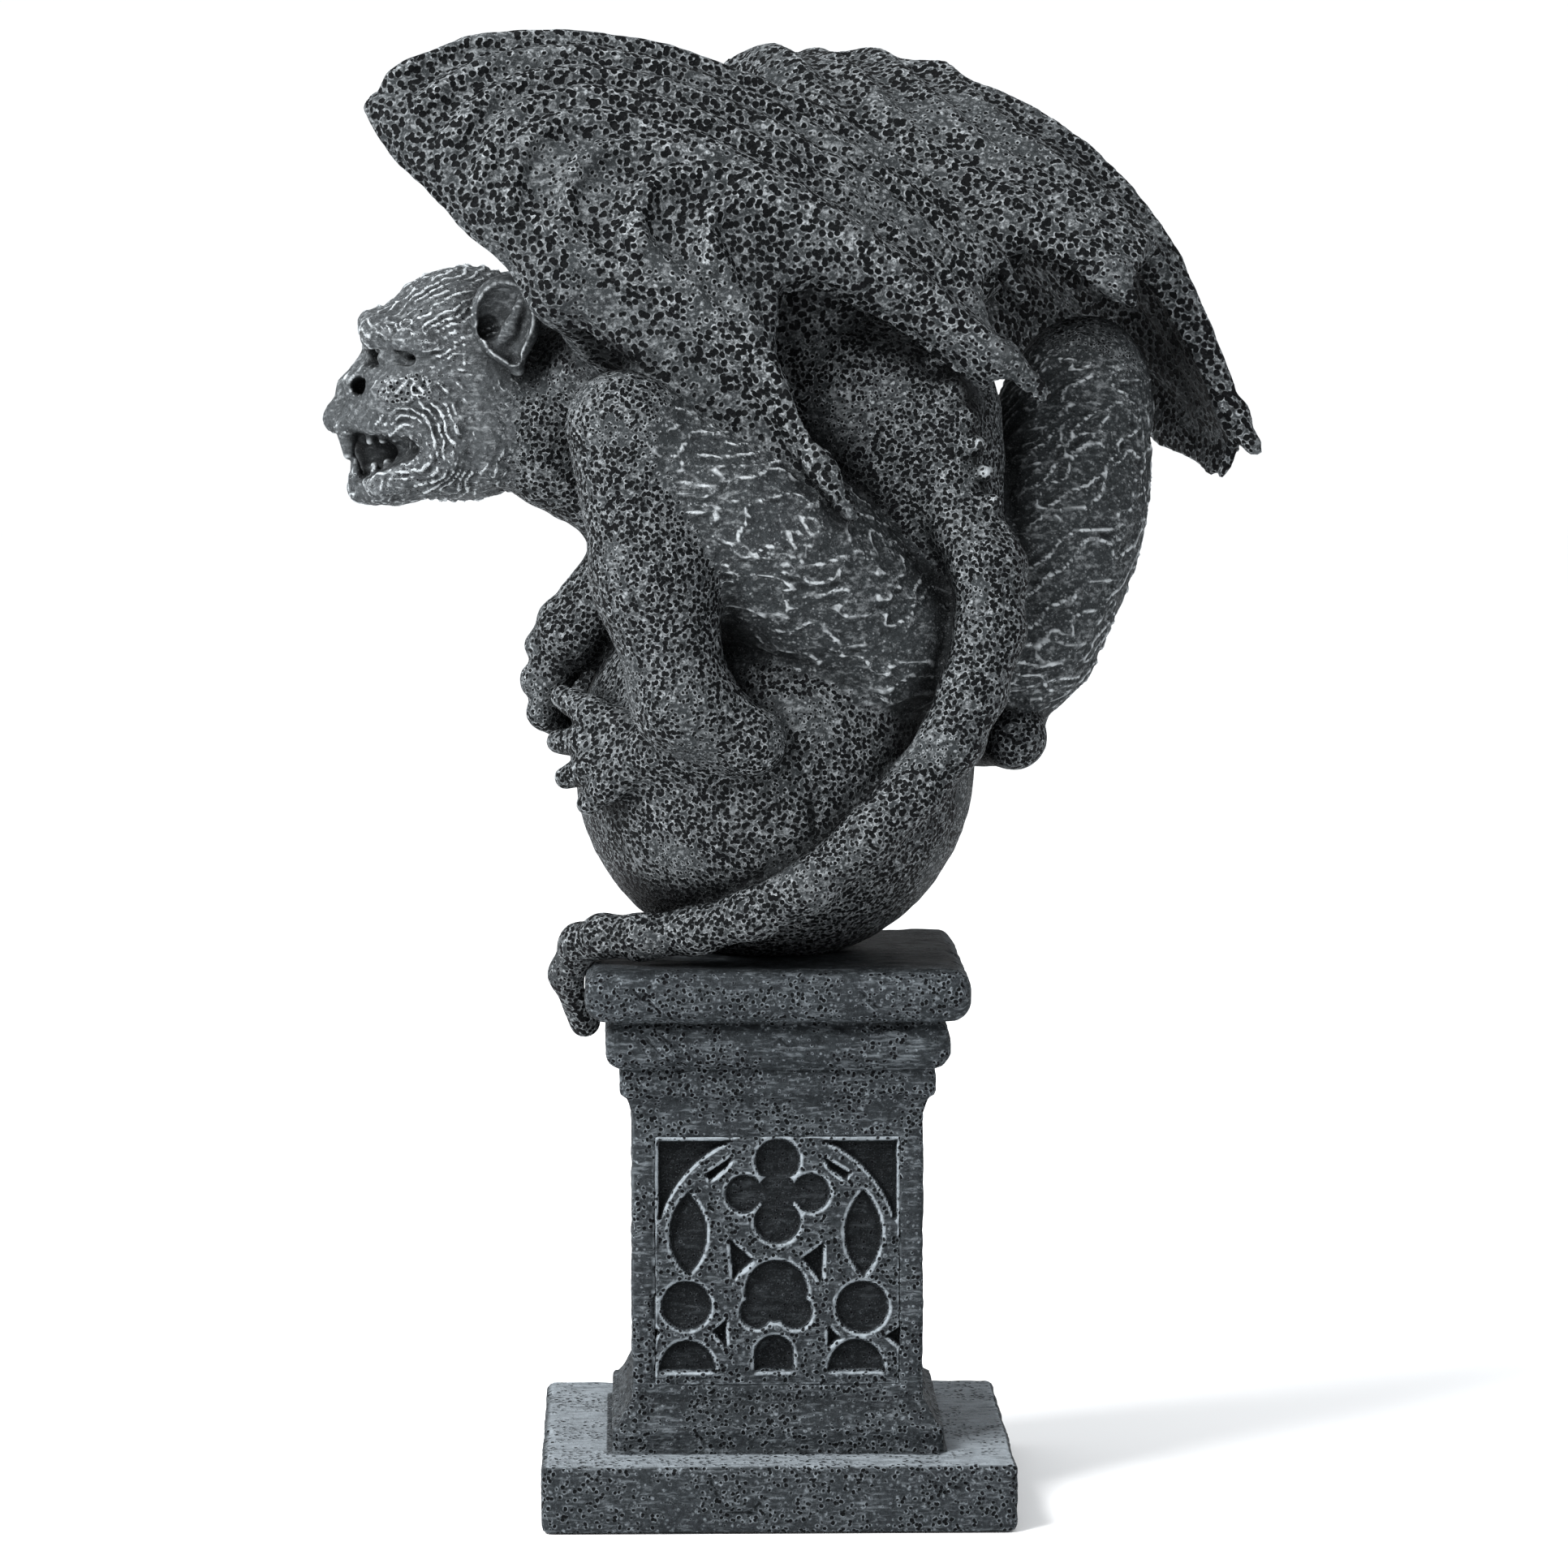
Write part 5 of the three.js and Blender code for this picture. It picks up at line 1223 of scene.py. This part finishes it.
# %% The panel on four sides
def tracery_tree():
    tree = bpy.data.node_groups.new("tracery on four sides", "GeometryNodeTree")
    for label, kind in (("Panel", "NodeSocketGeometry"), ("Sides", "NodeSocketInt"),
                        ("Out from the middle", "NodeSocketFloat"), ("Stone", "NodeSocketMaterial")):
        tree.interface.new_socket(label, in_out="INPUT", socket_type=kind)
    tree.interface.new_socket("Tracery", in_out="OUTPUT", socket_type="NodeSocketGeometry")
    add, link = tree.nodes.new, tree.links.new
    given, result = add("NodeGroupInput"), add("NodeGroupOutput")
    places = add("GeometryNodeMeshCircle")
    link(given.outputs["Sides"], places.inputs["Vertices"])
    link(given.outputs["Out from the middle"], places.inputs["Radius"])
    turn = add("FunctionNodeAlignRotationToVector")
    turn.axis, turn.pivot_axis = "X", "Z"
    link(add("GeometryNodeInputPosition").outputs[0], turn.inputs["Vector"])
    copies = add("GeometryNodeInstanceOnPoints")
    link(places.outputs["Mesh"], copies.inputs["Points"])
    link(given.outputs["Panel"], copies.inputs["Instance"])
    link(turn.outputs["Rotation"], copies.inputs["Rotation"])
    whole, paint = add("GeometryNodeRealizeInstances"), add("GeometryNodeSetMaterial")
    link(copies.outputs["Instances"], whole.inputs["Geometry"])
    link(whole.outputs["Geometry"], paint.inputs["Geometry"])
    link(given.outputs["Stone"], paint.inputs["Material"])
    link(paint.outputs["Geometry"], result.inputs["Tracery"])
    return tree


def run_tree(tree, start, values):
    """Runs a tree on an object and leaves the result in it as a plain mesh."""
    modifier = start.modifiers.new("nodes", "NODES")
    modifier.node_group = tree
    for item in tree.interface.items_tree:
        if item.in_out == "INPUT" and item.name in values:
            modifier[item.identifier] = values[item.name]
    graph = bpy.context.evaluated_depsgraph_get()
    dressed = start.evaluated_get(graph)
    mesh = bpy.data.meshes.new_from_object(dressed, preserve_all_data_layers=True, depsgraph=graph)
    start.modifiers.clear()
    start.data = mesh


# %% [markdown]
# ## Stone paint and painted shade
# The castings are painted: dark slate grey all over, then pale blue-grey dragged over the high
# spots with a nearly dry brush, so crests and rims of pores catch it. Shade is painted in as well:
# the pores, rounded cells of a 3-D pattern that are open where the pore attribute is strong, are
# near-black, and dips and recesses are painted darker and get less coat. The relief attribute
# carries how far each spot stands out and the opening attribute how much open space lies in front
# of it, both measured on the nets themselves.

# %% Node helpers
def put(tree, kind, settings=(), **inputs):
    """Adds a node, sets its properties, and fills inputs with numbers or other nodes' outputs."""
    node = tree.nodes.new(kind)
    for key, value in dict(settings).items():
        setattr(node, key, value)
    for key, value in inputs.items():
        place = int(key[1:]) if key[1:].isdigit() else key.replace("_", " ")
        if isinstance(value, bpy.types.NodeSocket):
            tree.links.new(value, node.inputs[place])
        else:
            node.inputs[place].default_value = value
    return node


def math_node(tree, operation, a, b=0.0):
    return put(tree, "ShaderNodeMath", {"operation": operation}, i0=a, i1=b).outputs[0]


def times(tree, a, b):
    return math_node(tree, "MULTIPLY", a, b)


def total(tree, first, *others):
    for other in others:
        first = math_node(tree, "ADD", first, other)
    return first


def shade(color, share):
    return tuple(share * part for part in color)


def stretch(tree, value, low, high, to_low=0.0, to_high=1.0):
    """Maps a value smoothly from one range to another."""
    return put(tree, "ShaderNodeMapRange", {"interpolation_type": "SMOOTHSTEP"}, Value=value, From_Min=low,
               From_Max=high, To_Min=to_low, To_Max=to_high).outputs[0]


def tint(tree, share, a, b):
    node = put(tree, "ShaderNodeMix", {"data_type": "RGBA"}, i0=share)
    for socket, value in ((node.inputs[6], a), (node.inputs[7], b)):
        if isinstance(value, bpy.types.NodeSocket):
            tree.links.new(value, socket)
        else:
            socket.default_value = (*value, 1)
    return node.outputs[2]


# %% Stone material
# Near-black painted shade for the inside of the pores, which the nets are too coarse to carry.
PAINTED_PORE_SHADE = (0.0015, 0.0017, 0.002)


def painted_stone(name, slate, dust, cells, hole, gain, brush):
    """Dark pitted stone with a dry-brushed pale coat and painted shade in its pits, dips and recesses.

    Cells are the spacings of the large and small pores in mm and hole is their radius in cells. Relief
    is fully coated where it reaches gain, and brush is how fine the strokes are along x, y and z.
    """
    material = bpy.data.materials.new(name)
    material.use_nodes = True
    tree = material.node_tree
    tree.nodes.clear()
    place = put(tree, "ShaderNodeTexCoord").outputs["Object"]
    mm = put(tree, "ShaderNodeVectorMath", {"operation": "SCALE"}, i0=place, Scale=1000.0).outputs[0]
    warp = put(tree, "ShaderNodeTexNoise", Vector=mm, Scale=0.55, Detail=2.0).outputs["Color"]
    add = {"operation": "MULTIPLY_ADD"}
    shift = put(tree, "ShaderNodeVectorMath", add, i0=warp, i1=(0.8, 0.8, 0.8), i2=mm).outputs[0]
    worked = put(tree, "ShaderNodeTexNoise", Vector=mm, Scale=0.9, Detail=5.0, Roughness=0.62).outputs[0]
    patchy = put(tree, "ShaderNodeTexNoise", Vector=mm, Scale=0.09, Detail=3.0).outputs[0]
    grain = put(tree, "ShaderNodeTexNoise", Vector=mm, Scale=3.2, Detail=3.0, Roughness=0.7).outputs[0]
    streaks = put(tree, "ShaderNodeVectorMath", {"operation": "MULTIPLY"}, i0=shift, i1=brush).outputs[0]
    drag = put(tree, "ShaderNodeTexNoise", Vector=streaks, Scale=1.0, Detail=4.0, Roughness=0.6).outputs[0]
    relief = put(tree, "ShaderNodeAttribute", {"attribute_name": "relief"}).outputs["Fac"]
    opening = put(tree, "ShaderNodeAttribute", {"attribute_name": "opening"}).outputs["Fac"]
    # Painted shade from how open a spot is: recesses get less coat and darker slate.
    open_space_shade = stretch(tree, opening, 0.15, 0.95)
    pits, rims = None, None
    for label, cell in zip(("large_pores", "small_pores"), cells):
        amount = put(tree, "ShaderNodeAttribute", {"attribute_name": label}).outputs["Fac"]
        cell_places = put(tree, "ShaderNodeTexVoronoi", Vector=shift, Scale=1 / cell, Randomness=0.86)
        closed = times(tree, math_node(tree, "SUBTRACT", 1.0, amount), 0.5)
        uneven = times(tree, math_node(tree, "SUBTRACT", worked, 0.5), 0.16)
        away = total(tree, cell_places.outputs["Distance"], closed, uneven)
        pit = stretch(tree, away, hole + 0.07, hole - 0.05)
        past_hole = stretch(tree, away, hole + 0.02, hole + 0.1)
        rim = times(tree, past_hole, stretch(tree, away, hole + 0.34, hole + 0.16))
        pits = pit if pits is None else math_node(tree, "MAXIMUM", pits, pit)
        rims = rim if rims is None else math_node(tree, "MAXIMUM", rims, rim)
    high = stretch(tree, relief, 0.3 * gain, gain)
    low = stretch(tree, relief, -0.1 * gain, -gain)
    brushed = stretch(tree, total(tree, drag, times(tree, patchy, 0.35)), 0.66, 0.98)
    crest_coat = times(tree, high, stretch(tree, drag, 0.28, 0.6, 0.55, 1.0))
    edge_coat = times(tree, rims, stretch(tree, worked, 0.41, 0.7, 0.05, 0.95))
    # Pore rims in dips get less coat: partly dry brush, partly painted shade.
    edge_coat = times(tree, edge_coat, stretch(tree, relief, -0.5 * gain, 0.8 * gain, 0.35, 1.0))
    coat = math_node(tree, "MAXIMUM", crest_coat, times(tree, brushed, 0.42))
    coat = math_node(tree, "MAXIMUM", coat, edge_coat)
    # Painted shade: recesses get less pale coat.
    coat = times(tree, coat, stretch(tree, open_space_shade, 0, 1, 0.12, 1.0))
    # Painted shade: dips get less pale coat.
    coat = times(tree, coat, stretch(tree, low, 0.1, 0.9, 1.0, 0.15))
    body = tint(tree, stretch(tree, worked, 0.3, 0.7), shade(slate, 0.62), shade(slate, 1.3))
    # Painted shade: dips are painted darker slate.
    body = tint(tree, stretch(tree, low, 0, 1, 0, 0.8), body, shade(slate, 0.3))
    # Painted shade: recesses are painted much darker slate.
    body = tint(tree, open_space_shade, shade(slate, 0.22), body)
    coated = tint(tree, coat, body, dust)
    dusty = tint(tree, times(tree, stretch(tree, grain, 0.55, 0.8), 0.25), coated, dust)
    # Painted shade: the pores are coloured near-black.
    color = tint(tree, times(tree, pits, 0.95), dusty, PAINTED_PORE_SHADE)
    depths = ((pits, -0.8), (rims, 0.12), (worked, 0.35), (grain, 0.08), (drag, 0.2))
    height = total(tree, *(times(tree, value, share) for value, share in depths))
    bump = put(tree, "ShaderNodeBump", Strength=0.9, Distance=0.001, Height=height).outputs[0]
    shader = put(tree, "ShaderNodeBsdfPrincipled", Base_Color=color, Normal=bump)
    shader.inputs["Roughness"].default_value = 0.62
    shader.inputs["Specular IOR Level"].default_value = 0.03
    tree.links.new(shader.outputs[0], put(tree, "ShaderNodeOutputMaterial").inputs[0])
    material.diffuse_color = (*slate, 1)
    return material


FIGURE_DUST, PEDESTAL_DUST = (0.32, 0.342, 0.356), (0.2, 0.225, 0.245)
STONES = {
    "figure": painted_stone("figure stone", (0.018, 0.0205, 0.022), FIGURE_DUST,
                            (1.65, 1.15), 0.45, 0.26, (0.5, 0.5, 0.8)),
    "head": painted_stone("head stone", (0.036, 0.0395, 0.042), FIGURE_DUST,
                          (1.7, 1.2), 0.3, 0.36, (0.4, 0.8, 0.9)),
    "pedestal": painted_stone("pedestal stone", (0.015, 0.0175, 0.0195), PEDESTAL_DUST,
                              (2.2, 1.35), 0.34, 0.6, (0.22, 0.5, 1.3)),
}
print("stones:", list(STONES))

# %% [markdown]
# ## The figure's nets
# Each group of forms is netted, pulled on to its surface and carved, and then measured for how far
# each point stands out. The head is netted finest, because its face has the smallest forms.

# %% Nets of the casting
FINENESS = {"near_wing": 1.0, "far_wing": 1.05, "head": 0.53, "trunk": 1.0, "legs": 0.85, "ball_and_tail": 1.1}
COARSER = 1
ROUNDS = 2


def netted(form, step):
    """A form's net at a grid step in mm, with the normals of the form at its points."""
    low = form.low - 2 * step
    value = sample(form, low, form.high + 2 * step, step)
    settle(value)
    points, quads = kept_faces(*net(value, low, step))
    points, normals = pulled(form, points, step)
    return points, quads, normals


pieces = {}
for name in group_names:
    points, quads, normals = netted(group_field(name), FINENESS[name] * COARSER)
    opening = open_space(points, normals)
    points, crest_coat_and_groove_shade, large, small, wing = carved(name, points, normals)
    relief = hollowness(points, quads, normals, FINENESS[name] * COARSER, ROUNDS)
    relief = crest_coat_and_groove_shade + relief * (1 - 0.72 * wing)
    fields = dict(relief=relief, opening=opening, large_pores=large, small_pores=small)
    piece = mesh_object(name, points, quads.tolist(), **fields)
    piece.data.materials.append(STONES["head" if name == "head" else "figure"])
    pieces[name] = piece
    print(name, len(quads) * 2, "triangles after", round(time.time() - started, 1), "s")

# %% Net of the pedestal and its tracery
pedestal_step = 1.1 * COARSER
points, quads, normals = netted(pedestal_form(), pedestal_step)
points = worn(points, normals)
relief = hollowness(points, quads, normals, pedestal_step, 1)
flat_top = ramp(normals[:, 2], 0.8, 0.95) * ramp(points[:, 2], 100, 110)
small = 0.9 - 0.5 * ramp(noise(points / 8, 66), 0.0, 0.5) - 0.4 * flat_top
# Painted light: upward faces near the floor, the slab's top, get more pale coat.
relief += 0.48 * ramp(normals[:, 2], 0.85, 0.97) * ramp(-points[:, 2], -20, -17)
# Painted shade: the capital's flat top under the ball and a band round the shaft's foot are painted darker.
opening = 1 - 0.5 * flat_top - 0.4 * ramp(-np.abs(points[:, 2] - shaft_foot), -6, 0)
block = mesh_object("pedestal_block", points, quads.tolist(), relief=relief, opening=opening, small_pores=small)
block.data.materials.append(STONES["pedestal"])
points, faces, relief, small = panel_mesh(0.5 * COARSER)
# Painted shade: the deeper the tracery is cut, the darker it is painted.
opening = np.clip(1.25 + points[:, 0] / 2.6, 0, 1)
tracery = mesh_object("tracery", points, faces, relief=relief, opening=opening, small_pores=small)
shaft_face = SHAFT["width"] / 2 * MM
run_tree(tracery_tree(), tracery, {"Sides": 4, "Out from the middle": shaft_face, "Stone": STONES["pedestal"]})
print("pedestal", len(quads) * 2, "triangles, tracery", sum(len(p.vertices) - 2 for p in tracery.data.polygons))

# %% [markdown]
# ## Floor and light
# A plain white floor and a bright, even surround, as for a catalogue picture. One soft window of
# light from the upper left models the forms.

# %% Floor
floor_mesh = bpy.data.meshes.new("floor")
reach, drop = 4, 0.0002
corners = [(x * reach, y * reach, -drop) for x, y in ((-1, -1), (1, -1), (1, 1), (-1, 1))]
floor_mesh.from_pydata(corners, [], [(0, 1, 2, 3)])
floor = bpy.data.objects.new("floor", floor_mesh)
bpy.context.collection.objects.link(floor)
floor_paint = bpy.data.materials.new("floor paint")
floor_paint.use_nodes = True
floor_shader = floor_paint.node_tree.nodes["Principled BSDF"]
floor_shader.inputs["Base Color"].default_value = (0.95, 0.955, 0.96, 1)
floor_shader.inputs["Roughness"].default_value = 1
floor_mesh.materials.append(floor_paint)
print("floor", 2 * reach, "m wide")


# %% Light
def window(name, place, size, power):
    light = bpy.data.lights.new(name, "AREA")
    light.size, light.energy = size, power
    made = bpy.data.objects.new(name, light)
    made.location = place
    aim = (np.array([0, 0, 0.18]) - np.array(place)).tolist()
    made.rotation_euler = Vector(aim).to_track_quat("-Z", "Y").to_euler()
    bpy.context.collection.objects.link(made)


world = bpy.data.worlds.new("surround")
world.use_nodes = True
surround = world.node_tree.nodes["Background"]
surround.inputs["Color"].default_value = (0.97, 0.985, 1, 1)
surround.inputs["Strength"].default_value = 1.04
bpy.context.scene.world = world
bpy.context.scene.view_settings.view_transform = "Standard"
window("key", (-1.0, -0.8, 1.3), 0.8, 72)
print("one window and a surround of strength", round(surround.inputs["Strength"].default_value, 2))

# %% [markdown]
# ## Joining the model
# Nothing moves, so every piece rides on the one body. The six nets stand in for the solid of the
# gargoyle and its ball, and the block and its tracery stand in for the pedestal's solid.

# %% Pieces and their solids
for piece in pieces.values():
    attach(piece, "root")
    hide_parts("gargoyle_on_ball")
for piece in (block, tracery):
    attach(piece, "root")
    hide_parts("pedestal")
